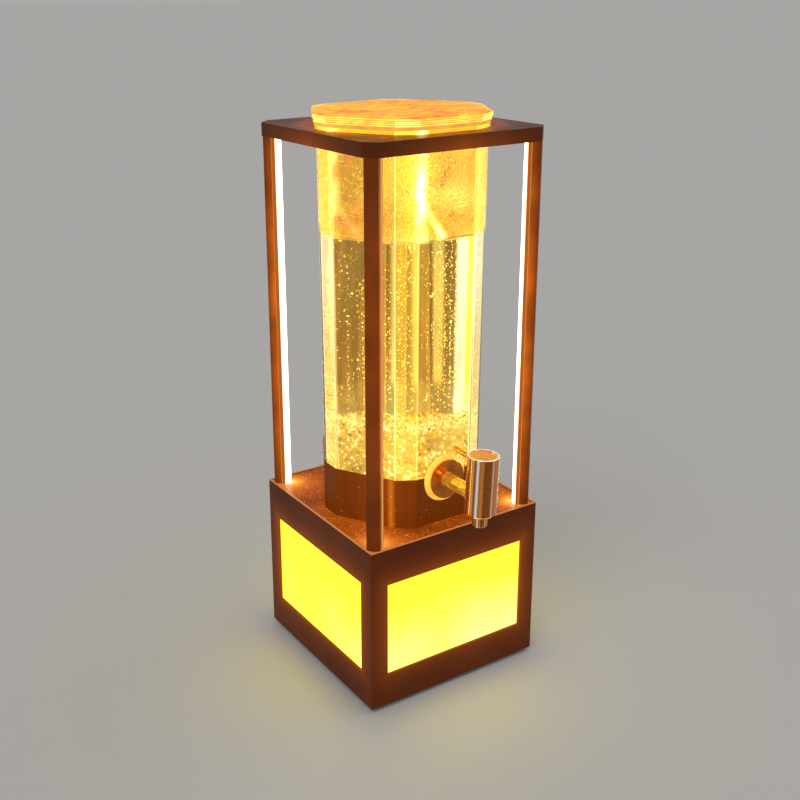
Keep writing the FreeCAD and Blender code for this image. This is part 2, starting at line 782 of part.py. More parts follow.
def make_port():
    """The charging inlet in the rear wall, on its own small board."""
    low_z = "rear_height - port_height / 2"
    outer = solid_box("port_outer", ("button_side - port_width / 2", "half - port_depth", low_z),
                      ("port_width", "port_depth", "port_height"))
    mouth = solid_box("port_mouth", ("button_side - port_width / 2 + port_wall", "half - port_depth + port_back",
                                     low_z + " + port_wall"),
                      ("port_width - 2 * port_wall", "port_depth", "port_height - 2 * port_wall"))
    tongue = solid_box("port_tongue", ("button_side - port_width / 3", "half - port_depth + port_back / 2",
                                       "rear_height - port_tongue / 2"),
                       ("2 * port_width / 3", "port_depth - 3 * port_back / 2", "port_tongue"))
    board = solid_box("port_board", ("button_side - port_board_width / 2", "half - shell_wall - port_board_length",
                                     "port_board_top - board_thickness"),
                      ("port_board_width", "port_board_length", "board_thickness"))
    keep(stand(joined("charging_port", [without("port_case", outer, [mouth]), tongue, board])))


# ------------------------------------------------------------------------------------------ posts
def make_posts():
    """Four light posts: a channel across each corner, a lamp strip in it, and an opal light bar over it.

    Each is drawn on the +X side of the axis, open towards the axis, and turned to its corner.
    """
    length = "tray_under - deck_top"
    for corner, angle in CORNERS.items():
        turn = about_z(angle)
        post = body("post_" + corner)
        outline = sketch(post, "XY_Plane", "deck_top")
        side, inside = "post_width / 2", "(post_width / 2 - post_wall)"
        loop(outline, [("post_outer", "-" + side), ("post_outer", side), ("post_inner", side),
                       ("post_inner", inside), ("post_web", inside), ("post_web", "-" + inside),
                       ("post_inner", "-" + inside), ("post_inner", "-" + side)])
        pad(post, outline, length)
        outer = value("post_outer") - PICK
        soften(post, "post_edge", lambda edge: edge.BoundBox.XMin > outer and edge.BoundBox.ZLength > PICK)
        keep(stand(post, turn=turn))

        strip = body("led_strip_" + corner)
        ribbon = sketch(strip, "XY_Plane", "strip_bottom")
        block(ribbon, "post_web - strip_thickness", "-strip_width / 2", "post_web", "strip_width / 2")
        pad(strip, ribbon, "strip_run")
        lamp = sketch(strip, "XY_Plane", "strip_bottom + (strip_pitch - led_size) / 2")
        block(lamp, "post_web - strip_thickness - led_height", "-led_size / 2", "post_web - strip_thickness / 2",
              "led_size / 2")
        first = pad(strip, lamp, "led_size")
        row = strip.newObject("PartDesign::LinearPattern", strip.Name + "_row")
        row.Originals = [first]
        row.Direction = (next(f for f in strip.Origin.OriginFeatures if f.Role == "Z_Axis"), [""])
        row.setExpression("Occurrences", expr("floor(strip_run / strip_pitch)"))
        row.setExpression("Length", expr("strip_pitch * (floor(strip_run / strip_pitch) - 1)"))
        strip.Tip = row
        doc.recompute()
        keep(stand(strip, turn=turn))

        keep(stand(make_light_bar("light_bar_" + corner), turn=turn))


def make_light_bar(name):
    """An opal bar with a rounded face, clipped over the open side of a post."""
    bow = "((diffuser_width * diffuser_width / 4 + diffuser_proud * diffuser_proud) / (2 * diffuser_proud))"
    low, tall = "deck_top + diffuser_play", "tray_under - deck_top - 2 * diffuser_play"
    round_bar = solid_rod(name + "_round", bow, tall, ("post_inner - diffuser_proud + " + bow, "0", low))
    face = solid_box(name + "_face", ("post_inner - 2 * diffuser_proud", "-diffuser_width / 2", low),
                     ("2 * diffuser_proud", "diffuser_width", tall))
    dome = doc.addObject("Part::Common", name + "_dome")
    dome.Base, dome.Tool = round_bar, face
    lips = [solid_box("%s_lip_%d" % (name, n), ("post_inner", start, low),
                      ("diffuser_lap", "(diffuser_width - post_width) / 2", tall))
            for n, start in enumerate(("-diffuser_width / 2", "post_width / 2"))]
    return joined(name, [dome] + lips)


def make_post_ends():
    """Bored plugs in both ends of each post, and the screws that hold the posts by them."""
    plugs, lower, upper = [], [], []
    for number, angle in enumerate(CORNERS.values()):
        for end, low in (("foot", "deck_top"), ("head", "tray_under - plug_length")):
            name = "plug_%s_%d" % (end, number)
            plug = solid_box(name, ("post_inner", "post_wall + plug_play - post_width / 2", low),
                             ("post_depth - post_wall", "post_width - 2 * post_wall - 2 * plug_play", "plug_length"))
            bore = solid_rod(name + "_bore", "pilot_radius", "plug_length + 2 * cut_past",
                             ("post_screw", "0", low + " - cut_past"))
            groove = solid_box(name + "_groove", ("post_inner - cut_past", "-wire_hole", low + " - cut_past"),
                               ("wire_hole + cut_past", "2 * wire_hole", "plug_length + 2 * cut_past"))
            done = without(name + "_bored", plug, [bore, groove])
            done.Placement = FreeCAD.Placement(Vector(0, 0, 0), about_z(angle))
            plugs.append(done)
        foot = make_screw("post_foot_%d" % number, "deck_top + plug_length", "screw_head_height",
                          "deck_under - screw_bite", "deck_top + plug_length", "post_screw", "0")
        head = make_screw("post_head_%d" % number, "tray_under + liner_thickness", "screw_head_height",
                          "tray_under - plug_length + screw_tip", "tray_under + liner_thickness", "post_screw", "0")
        for screw, store in ((foot, lower), (head, upper)):
            screw.Placement = FreeCAD.Placement(Vector(0, 0, 0), about_z(angle))
            store.append(screw)
    keep(stand(group("post_end_plugs", plugs)))
    keep(stand(group("post_foot_screws", lower)))
    keep(stand(group("post_head_screws", upper)))


# ------------------------------------------------------------------------------------------ top tray
def make_top():
    """The liner plate that the posts carry, and the tray that covers it."""
    liner = body("top_liner")
    outline = sketch(liner, "XY_Plane", "tray_under")
    cut_square(outline, "tray_inner - liner_play", "inner_cut")
    pad(liner, outline, "liner_thickness")
    opening = sketch(liner, "XY_Plane", "frame_height")
    six_sides(opening, "opening_flat", "opening_corner")
    pocket(liner, opening)
    holes = sketch(liner, "XY_Plane", "frame_height")
    for sx, sy in QUARTERS:
        ring(holes, "screw_hole", signed(sx, "post_screw / sqrt(2)"), signed(sy, "post_screw / sqrt(2)"))
        ring(holes, "screw_hole", signed(sx, "boss_spot"), signed(sy, "boss_spot"))
    pocket(liner, holes)
    keep(stand(liner))

    tray = body("top_tray")
    outline = sketch(tray, "XY_Plane", "tray_under")
    cut_square(outline, "half", "corner_cut")
    pad(tray, outline, "tray_height")
    top = value("frame_height") - PICK
    soften(tray, "tray_edge", lambda edge: edge.BoundBox.ZMin > top)
    hollow = sketch(tray, "XY_Plane", "tray_under")
    cut_square(hollow, "tray_inner", "inner_cut")
    pocket(tray, hollow, "tray_height - tray_skin", reverse=True)
    opening = sketch(tray, "XY_Plane", "frame_height")
    six_sides(opening, "opening_flat", "opening_corner")
    pocket(tray, opening)
    seat, skin = "tray_under + liner_thickness", "frame_height - tray_skin"
    bosses = sketch(tray, "XY_Plane", seat)
    bores = sketch(tray, "XY_Plane", seat)
    for sx, sy in QUARTERS:
        ring(bosses, "tray_boss", signed(sx, "boss_spot"), signed(sy, "boss_spot"))
        ring(bores, "pilot_radius", signed(sx, "boss_spot"), signed(sy, "boss_spot"))
    pad(tray, bosses, "(%s) - (%s)" % (skin, seat))
    pocket(tray, bores, "(%s) - (%s)" % (skin, seat), reverse=True)
    keep(stand(tray))

    screws = [make_screw("tray_%d" % number, "tray_under - screw_head_height", "screw_head_height",
                         "tray_under", skin + " - screw_tip", signed(sx, "boss_spot"), signed(sy, "boss_spot"))
              for number, (sx, sy) in enumerate(QUARTERS)]
    keep(stand(group("tray_screws", screws)))


# ------------------------------------------------------------------------------------------ vessel
def make_socket():
    """The hexagonal cup on the deck that the barrel stands in, notched for the tap."""
    socket = body("barrel_socket")
    grow = "barrel_draft * (socket_depth - socket_wall - pad_thickness) / barrel_height"
    rise = "deck_top + socket_depth"
    shell_flat = "barrel_flat + socket_play + socket_wall"
    shell_corner = "barrel_corner + socket_play + socket_wall"
    low = sketch(socket, "XY_Plane", "deck_top")
    six_sides(low, shell_flat, shell_corner)
    high = sketch(socket, "XY_Plane", rise)
    six_sides(high, "%s + %s" % (shell_flat, grow), "%s + %s" % (shell_corner, grow))
    loft(socket, "Additive", [low, high])
    low = sketch(socket, "XY_Plane", "socket_floor")
    six_sides(low, "barrel_flat + socket_play", "barrel_corner + socket_play")
    high = sketch(socket, "XY_Plane", rise)
    six_sides(high, "barrel_flat + socket_play + " + grow, "barrel_corner + socket_play + " + grow)
    loft(socket, "Subtractive", [low, high])
    notch = sketch(socket, "XZ_Plane")
    ring(notch, "washer_radius + notch_play", "0", "tap_z")
    pocket(socket, notch, reverse=True)
    mouth = sketch(socket, "XZ_Plane")
    block(mouth, "-washer_radius - notch_play", "tap_z", "washer_radius + notch_play", rise + " + cut_past")
    pocket(socket, mouth, reverse=True)
    holes = sketch(socket, "XY_Plane", "socket_floor")
    for sx, sy in QUARTERS:
        ring(holes, "screw_hole", signed(sx, "socket_screw_spread"), signed(sy, "socket_screw_spread"))
    pocket(socket, holes)
    keep(stand(socket))

    pad_body = body("barrel_pad")
    outline = sketch(pad_body, "XY_Plane", "socket_floor")
    six_sides(outline, "barrel_flat - pad_margin", "barrel_corner - pad_margin")
    pad(pad_body, outline, "pad_thickness")
    holes = sketch(pad_body, "XY_Plane", "barrel_bottom")
    for sx, sy in QUARTERS:
        ring(holes, "screw_head + pad_hole_play", signed(sx, "socket_screw_spread"), signed(sy, "socket_screw_spread"))
    pocket(pad_body, holes)
    keep(stand(pad_body))

    screws = [make_screw("socket_%d" % number, "socket_floor", "screw_head_height", "socket_floor - socket_screw_bite",
                         "socket_floor", signed(sx, "socket_screw_spread"), signed(sy, "socket_screw_spread"))
              for number, (sx, sy) in enumerate(QUARTERS)]
    keep(stand(group("socket_screws", screws)))


def barrel_strip(angle, own, neighbour):
    """One upright strip of the barrel's wall, mitred to its neighbours and drawn with its face towards +X.

    own and neighbour are the strip's and its neighbours' distances from the axis at the barrel's foot.
    """
    strip = body("barrel_strip_%d" % angle)

    def section(height, inner, outer):
        target = sketch(strip, "XY_Plane", height)
        corners = []
        for grown, side in ((inner, "-"), (outer, "-"), (outer, ""), (inner, "")):
            reach = "(2 * (%s + %s) - sqrt(3) * (%s + %s))" % (neighbour, grown, own, grown)
            corners.append(("%s + %s" % (own, grown), side + reach))
        loop(target, corners)
        return target

    foot = "(barrel_draft * barrel_floor / barrel_height)"
    head = "(barrel_draft * (rim_top - barrel_bottom) / barrel_height)"
    loft(strip, "Additive", [section("barrel_bottom + barrel_floor", "(%s - barrel_wall)" % foot, foot),
                             section("rim_top", "(%s - barrel_wall)" % head, head)])
    pad(strip, section("frame_height", "(barrel_draft - barrel_wall / 2)", "(rim_flat - barrel_flat)"), "rim_thickness")
    return strip


def make_barrel():
    """The clear barrel: twelve drafted strips bonded edge to edge on a thick floor, and the tap's hole."""
    floor = body("barrel_floor_plate")
    low = sketch(floor, "XY_Plane", "barrel_bottom")
    six_sides(low, "barrel_flat", "barrel_corner")
    high = sketch(floor, "XY_Plane", "barrel_bottom + barrel_floor")
    wide = "barrel_draft * barrel_floor / barrel_height"
    six_sides(high, "barrel_flat + " + wide, "barrel_corner + " + wide)
    loft(floor, "Additive", [low, high])
    parts = [floor]
    for angle in range(0, 360, 30):
        strip = barrel_strip(angle, *(("barrel_flat", "barrel_corner") if angle % 60 else ("barrel_corner", "barrel_flat")))
        if angle == 270:
            hole = sketch(strip, "YZ_Plane")
            ring(hole, "shank_hole", "0", "tap_z")
            pocket(strip, hole, both=True)
        strip.Placement = FreeCAD.Placement(Vector(0, 0, 0), about_z(angle))
        parts.append(strip)
    return keep(stand(group("barrel", parts)))


def make_lid():
    """The lid stack: a plug in the mouth, a soft seal on the rim, and two clear plates over it."""
    plug = body("lid_plug")
    outline = sketch(plug, "XY_Plane", "seal_top - plug_depth")
    six_sides(outline, "plug_flat", "plug_corner")
    pad(plug, outline, "plug_depth")
    keep(stand(plug))

    seal = body("lid_seal")
    outline = sketch(seal, "XY_Plane", "rim_top")
    six_sides(outline, "rim_flat + seal_step", "rim_corner + seal_step")
    pad(seal, outline, "seal_thickness")
    mouth = sketch(seal, "XY_Plane", "seal_top")
    six_sides(mouth, "plug_flat + pane_play", "plug_corner + pane_play")
    pocket(seal, mouth)
    keep(stand(seal))

    for name, low, high, step in (("lid_base", "seal_top", "base_lid_top", "seal_step + base_step"),
                                  ("lid_plate", "base_lid_top", "lid_top", "seal_step + base_step + lid_step")):
        plate = body(name)
        outline = sketch(plate, "XY_Plane", low)
        six_sides(outline, "rim_flat + " + step, "rim_corner + " + step)
        pad(plate, outline, "(%s) - (%s)" % (high, low))
        if name == "lid_plate":
            top = value("lid_top") - PICK
            soften(plate, "lid_edge", lambda edge: edge.BoundBox.ZMin > top)
        keep(stand(plate))


# ------------------------------------------------------------------------------------------ tap
LEAN = FreeCAD.Rotation(Vector(0, 1, 0), SIZES["tap_lean"])     # the tap sits a little turned on its shank


def stand_tap(thing):
    """Stand a piece on the tap's own upright axis, with height 0 at the shank's centre line."""
    return keep(stand(thing, "0", "-tap_reach", "tap_z", LEAN))


def stand_shank(thing):
    """Stand a turned piece on the shank's axis, with its height measured forwards from the tower axis."""
    return keep(stand(thing, "0", "0", "tap_z", OUTWARD))


def make_tap_body():
    """The lower half of the tap with its neck, valve chamber and the shank that goes into the barrel."""
    tap = turned("tap_body", [
        ("0", "-tap_drop"), ("tap_radius - tap_bevel", "-tap_drop"), ("tap_radius", "-tap_drop + tap_bevel"),
        ("tap_radius", "tap_shoulder"), ("neck_radius", "tap_shoulder"), ("neck_radius", "neck_top"),
        ("0", "neck_top")])
    shank = sketch(tap, "XZ_Plane", "nut_back - shank_tail - tap_reach")
    ring(shank, "shank_radius")
    pad(tap, shank, "tap_reach - nut_back + shank_tail")
    chamber = sketch(tap, "XY_Plane", "neck_top")
    ring(chamber, "chamber_radius")
    pocket(tap, chamber, "neck_top - chamber_floor")
    outlet = sketch(tap, "XY_Plane", "-tap_drop")
    ring(outlet, "nozzle_bore")
    pocket(tap, outlet, "tap_drop + chamber_floor + cut_past", reverse=True)
    thread = sketch(tap, "XY_Plane", "-tap_drop")
    ring(thread, "nozzle_thread + film")
    pocket(tap, thread, "nozzle_bite + film", reverse=True)
    bore = sketch(tap, "XZ_Plane", "nut_back - shank_tail - tap_reach")
    ring(bore, "shank_bore")
    pocket(tap, bore, "tap_reach - nut_back + shank_tail", reverse=True)
    stand_tap(tap)


def make_tap_fittings():
    """The nozzle, and what clamps the shank in the barrel's wall."""
    stand_tap(turned("tap_nozzle", [
        ("nozzle_bore", "-tap_drop - nozzle_length"), ("nozzle_radius - nozzle_edge", "-tap_drop - nozzle_length"),
        ("nozzle_radius", "-tap_drop - nozzle_length + nozzle_edge"), ("nozzle_radius", "-tap_drop"),
        ("nozzle_thread", "-tap_drop"), ("nozzle_thread", "-tap_drop + nozzle_bite"),
        ("nozzle_bore", "-tap_drop + nozzle_bite")]))
    fit = "shank_radius + film"
    front = "wall_front + washer_thickness"
    stand_shank(turned("tap_washer", [
        (fit, "wall_front"), ("washer_radius", "wall_front"), ("washer_radius", "wall_front + washer_edge"),
        ("washer_face", front), (fit, front)]))
    rim = front + " + rosette_thickness"
    stand_shank(turned("tap_rosette", [
        (fit, front), ("rosette_radius - rosette_edge", front), ("rosette_radius", front + " + rosette_edge"),
        ("rosette_radius", rim + " - rosette_edge"), ("rosette_radius - rosette_edge", rim),
        ("rosette_radius - rosette_lip", rim), ("shank_radius + rosette_seat", rim + " - rosette_dish"),
        (fit, rim + " - rosette_dish")]))
    stand_shank(turned("tap_inner_washer",
                       tube(fit, "inner_washer_radius", "nut_front", "nut_front + inner_washer_thickness")))
    nut = body("tap_lock_nut")
    outline = sketch(nut, "XY_Plane", "nut_back")
    points = []
    for turn in range(0, 360, 60):
        points.append(("nut_flats / sqrt(3) * cos(%d)" % turn, "nut_flats / sqrt(3) * sin(%d)" % turn))
    loop(outline, points)
    ring(outline, fit)
    pad(nut, outline, "nut_thickness")
    stand_shank(nut)


def make_valve():
    """Two ported discs, the stem that turns the upper one, and the gland that holds the stem."""
    fixed = turned("tap_fixed_disc", tube("0", "chamber_radius - film", "chamber_floor", "disc_seam"))
    port = sketch(fixed, "XY_Plane", "disc_seam")
    ring(port, "disc_port", "disc_offset", "0")
    pocket(fixed, port)
    stand_tap(fixed)

    moving = turned("tap_turning_disc", tube("0", "chamber_radius - film", "disc_seam + film", "disc_top"))
    port = sketch(moving, "XY_Plane", "disc_top")
    ring(port, "disc_port", "0", "-disc_offset")
    pocket(moving, port)
    slot = sketch(moving, "XY_Plane", "disc_top")
    block(slot, "-tang_length / 2 - film", "-tang_width / 2 - film", "tang_length / 2 + film", "tang_width / 2 + film")
    pocket(moving, slot, "tang_height + film")
    stand_tap(moving)

    stem = turned("tap_stem", [
        ("0", "disc_top"), ("collar_radius", "disc_top"), ("collar_radius", "disc_top + collar_height"),
        ("stem_radius", "disc_top + collar_height"), ("stem_radius", "web_top"), ("0", "web_top")])
    tang = sketch(stem, "XY_Plane", "disc_top")
    block(tang, "-tang_length / 2", "-tang_width / 2", "tang_length / 2", "tang_width / 2")
    pad(stem, tang, "tang_height", reverse=True)
    thread = sketch(stem, "XY_Plane", "web_top")
    ring(thread, "screw_radius + film")
    pocket(stem, thread, "screw_bite")
    stand_tap(stem)

    fit = "stem_radius + film"
    stand_tap(turned("tap_stem_seal", tube(fit, "chamber_radius - film", "gland_bottom - stem_seal_height", "gland_bottom")))
    stand_tap(turned("tap_gland", [
        (fit, "gland_bottom"), ("chamber_radius - film", "gland_bottom"), ("chamber_radius - film", "neck_top"),
        ("gland_flange", "neck_top"), ("gland_flange", "neck_top + gland_flange_height"),
        (fit, "neck_top + gland_flange_height")]))


def make_tap_cap():
    """The turning upper half of the tap with its lever, hidden screw and the plain disc let into its top."""
    cap = turned("tap_cap", [
        ("cap_bore", "tap_shoulder + seam_gap"), ("tap_radius", "tap_shoulder + seam_gap"),
        ("tap_radius", "tap_lift - cap_edge"), ("tap_radius - cap_edge", "tap_lift"),
        ("badge_radius + film", "tap_lift"), ("badge_radius + film", "badge_floor"),
        ("cap_screw_head + cap_screw_room", "badge_floor"), ("cap_screw_head + cap_screw_room", "web_top"), ("stem_radius + film", "web_top"), ("stem_radius + film", "web_height"),
        ("cap_bore", "web_height")])
    socket = sketch(cap, "XZ_Plane", "-tap_radius - cut_past")
    ring(socket, "lever_radius + film", "0", "lever_rise")
    pocket(cap, socket, "tap_radius + cut_past - lever_root + film", reverse=True)
    stand_tap(cap)

    lever = turned("tap_lever", [
        ("0", "lever_root"), ("lever_radius", "lever_root"), ("lever_radius", "lever_length - lever_edge"),
        ("lever_radius - lever_edge", "lever_length"), ("0", "lever_length")])
    keep(stand(lever, "lever_rise * sin(tap_lean)", "-tap_reach", "tap_z + lever_rise * cos(tap_lean)",
               FreeCAD.Rotation(Vector(1, 0, 0), -90)))

    stand_tap(turned("tap_cap_screw", [
        ("0", "web_top - screw_bite + screw_tip"), ("screw_radius", "web_top - screw_bite + screw_tip"), ("screw_radius", "web_top"),
        ("cap_screw_head", "web_top"), ("cap_screw_head", "web_top + cap_screw_height"),
        ("0", "web_top + cap_screw_height")]))
    stand_tap(turned("tap_top_disc", tube("0", "badge_radius", "badge_floor", "badge_floor + badge_thickness")))


make_base_shell()
make_deck()
make_panes()
make_cover()
make_base_fasteners()
make_battery()
make_boards()
make_button()
make_port()
make_posts()
make_post_ends()
make_top()
make_socket()
make_barrel()
make_lid()
make_tap_body()
make_tap_fittings()
make_valve()
make_tap_cap()
doc.recompute()

# ------------------------------------------------------------------------------------ checks and export
for thing in doc.Objects:
    if "Invalid" in thing.State or "Error" in thing.State:
        raise RuntimeError("%s did not compute: %s" % (thing.Name, thing.State))
for thing in nodes:
    if thing.Shape.isNull() or not thing.Shape.isValid() or not thing.Shape.Solids:
        raise RuntimeError("%s has no sound shape" % thing.Label)

os.makedirs("parts", exist_ok=True)
for thing in nodes:
    thing.Shape.exportStep("parts/%s.step" % thing.Label)
    box = thing.Shape.BoundBox
    print("%-24s solids %2d  volume %10.1f  z %7.2f to %7.2f" % (
        thing.Label, len(thing.Shape.Solids), thing.Shape.Volume, box.ZMin, box.ZMax))
print(len(nodes), "nodes")
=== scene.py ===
"""Looks of the lighted beer tower: a clear drink barrel in a lantern frame, with a polished tap.

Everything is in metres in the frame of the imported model: +Z is up, the tap is on the -Y side and the
surface that the tower stands on is z = 0. Finished pieces sit at the origin, with their place in
their meshes.
"""

import logging
import math
import random
from dataclasses import dataclass
from enum import Enum
from typing import Callable, Optional, Sequence, Union

import bmesh
import bpy
from mathutils import Matrix, Vector

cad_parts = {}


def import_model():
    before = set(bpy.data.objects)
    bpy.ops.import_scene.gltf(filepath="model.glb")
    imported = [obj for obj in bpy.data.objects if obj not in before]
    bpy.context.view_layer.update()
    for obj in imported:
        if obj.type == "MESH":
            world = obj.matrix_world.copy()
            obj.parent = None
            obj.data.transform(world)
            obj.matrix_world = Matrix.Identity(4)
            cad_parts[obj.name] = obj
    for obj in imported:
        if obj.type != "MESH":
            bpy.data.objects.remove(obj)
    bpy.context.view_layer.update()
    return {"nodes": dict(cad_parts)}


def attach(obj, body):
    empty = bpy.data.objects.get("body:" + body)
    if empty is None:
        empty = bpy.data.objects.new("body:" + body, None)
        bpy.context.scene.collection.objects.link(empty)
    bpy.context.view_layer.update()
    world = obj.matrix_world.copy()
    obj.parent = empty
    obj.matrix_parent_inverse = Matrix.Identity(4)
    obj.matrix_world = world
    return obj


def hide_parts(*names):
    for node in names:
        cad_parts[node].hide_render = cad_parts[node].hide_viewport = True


LOG = logging.getLogger("beer_tower")
MM = 0.001
AXIS = Vector((0.0, 0.01925, 0.0))      # foot of the tower's own upright axis
FACES = 12                              # sides of the barrel, long and narrow by turns
FACE_TURN = 30.0                        # degrees from one of them to the next
TWO_FACES = 2 * FACE_TURN
# the light on the paint is a painted glow
GLOW_STEP = 5.5 * MM                    # distance in which light on the paint falls by half
Colour = tuple[float, float, float]
Feed = Union["Pattern", float, Sequence[float]]
CORNERS = ("front_left", "front_right", "back_right", "back_left")
SIDES = ("front", "right", "back", "left")


class Body(Enum):
    """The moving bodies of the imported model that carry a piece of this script."""

    TOWER = "tower"
    LID = "lid"


class Channel(Enum):
    """The shader sockets that the finishes set."""

    COLOUR = "Base Color"
    METAL = "Metallic"
    ROUGH = "Roughness"
    IOR = "IOR"
    SHINE = "Specular IOR Level"
    BRUSH = "Anisotropic"
    CLEAR = "Transmission Weight"
    COAT = "Coat Weight"
    COAT_ROUGH = "Coat Roughness"
    SOFT = "Subsurface Weight"
    SOFT_DEPTH = "Subsurface Scale"
    LIGHT = "Emission Color"
    POWER = "Emission Strength"


# --------------------------------------------------------------------------------- material recipes
class Pattern:
    """A number, vector or colour that varies over a surface: one output of a recipe's nodes."""

    def __init__(self, recipe: "Recipe", socket: bpy.types.NodeSocket) -> None:
        """Keep the output with its recipe."""
        self.recipe = recipe
        self.socket = socket

    def __add__(self, other: Feed) -> "Pattern":
        """Return the sum of the two."""
        return self.recipe.maths("ADD", self, other)

    def __sub__(self, other: Feed) -> "Pattern":
        """Return this less the other."""
        return self.recipe.maths("SUBTRACT", self, other)

    def __mul__(self, other: Feed) -> "Pattern":
        """Return the product of the two."""
        return self.recipe.maths("MULTIPLY", self, other)

    def __mod__(self, other: Feed) -> "Pattern":
        """Return what is left of this after whole others."""
        return self.recipe.maths("MODULO", self, other)

    def __pow__(self, other: Feed) -> "Pattern":
        """Return this raised to a power."""
        return self.recipe.maths("POWER", self, other)

    def __abs__(self) -> "Pattern":
        """Return this without its sign."""
        return self.recipe.maths("ABSOLUTE", self)

    def at_least(self, other: Feed) -> "Pattern":
        """Return the greater of the two."""
        return self.recipe.maths("MAXIMUM", self, other)

    def halving(self, step: float) -> "Pattern":
        """Return one at nought, and half as much with every step from there."""
        return self.recipe.maths("POWER", 0.5, self.recipe.maths("DIVIDE", self, step))

    def beat(self, pitch: float) -> "Pattern":
        """Return a number that swings from one to minus one and back in every pitch."""
        return self.recipe.maths("COSINE", self * (2 * math.pi / pitch))

    def part(self, letter: str) -> "Pattern":
        """Return one of a vector's three numbers."""
        return self.recipe.node("SeparateXYZ", {0: self}, letter)

    def angle(self) -> "Pattern":
        """Return a vector's angle about Z, in degrees."""
        return self.recipe.maths("DEGREES", self.recipe.maths("ARCTAN2", self.part("Y"), self.part("X")))

    def length(self) -> "Pattern":
        """Return a vector's length."""
        return self.recipe.node("VectorMath", {0: self}, "Value", operation="LENGTH")

    def seen_from(self, spot: Sequence[float]) -> "Pattern":
        """Return a place measured from another one."""
        return self.recipe.node("VectorMath", {0: self, 1: spot}, operation="SUBTRACT")

    def span(self, low: float, high: float, to_low: float, to_high: float) -> "Pattern":
        """Return this stretched from low..high to to_low..to_high, and held there."""
        return self.recipe.node("MapRange", {0: self, 1: low, 2: high, 3: to_low, 4: to_high})

    def blend(self, first: Feed, second: Feed) -> "Pattern":
        """Return a mix of two colours, in which this is the second one's share."""
        return self.recipe.node("Mix", {0: self, 6: first, 7: second}, 2, data_type="RGBA")

    def ramp(self, *stops: tuple[float, Colour]) -> "Pattern":
        """Colour this.

        Args:
            stops: a colour for each of some of its values, in rising order.

        Returns:
            The colours.
        """
        made = self.recipe.node("ValToRGB", {0: self})
        bar = made.socket.node.color_ramp.elements
        while len(bar) < len(stops):
            bar.new(0.5)
        for element, (value, colour) in zip(bar, stops):
            element.position = value
            element.color = (*colour, 1.0)
        return made


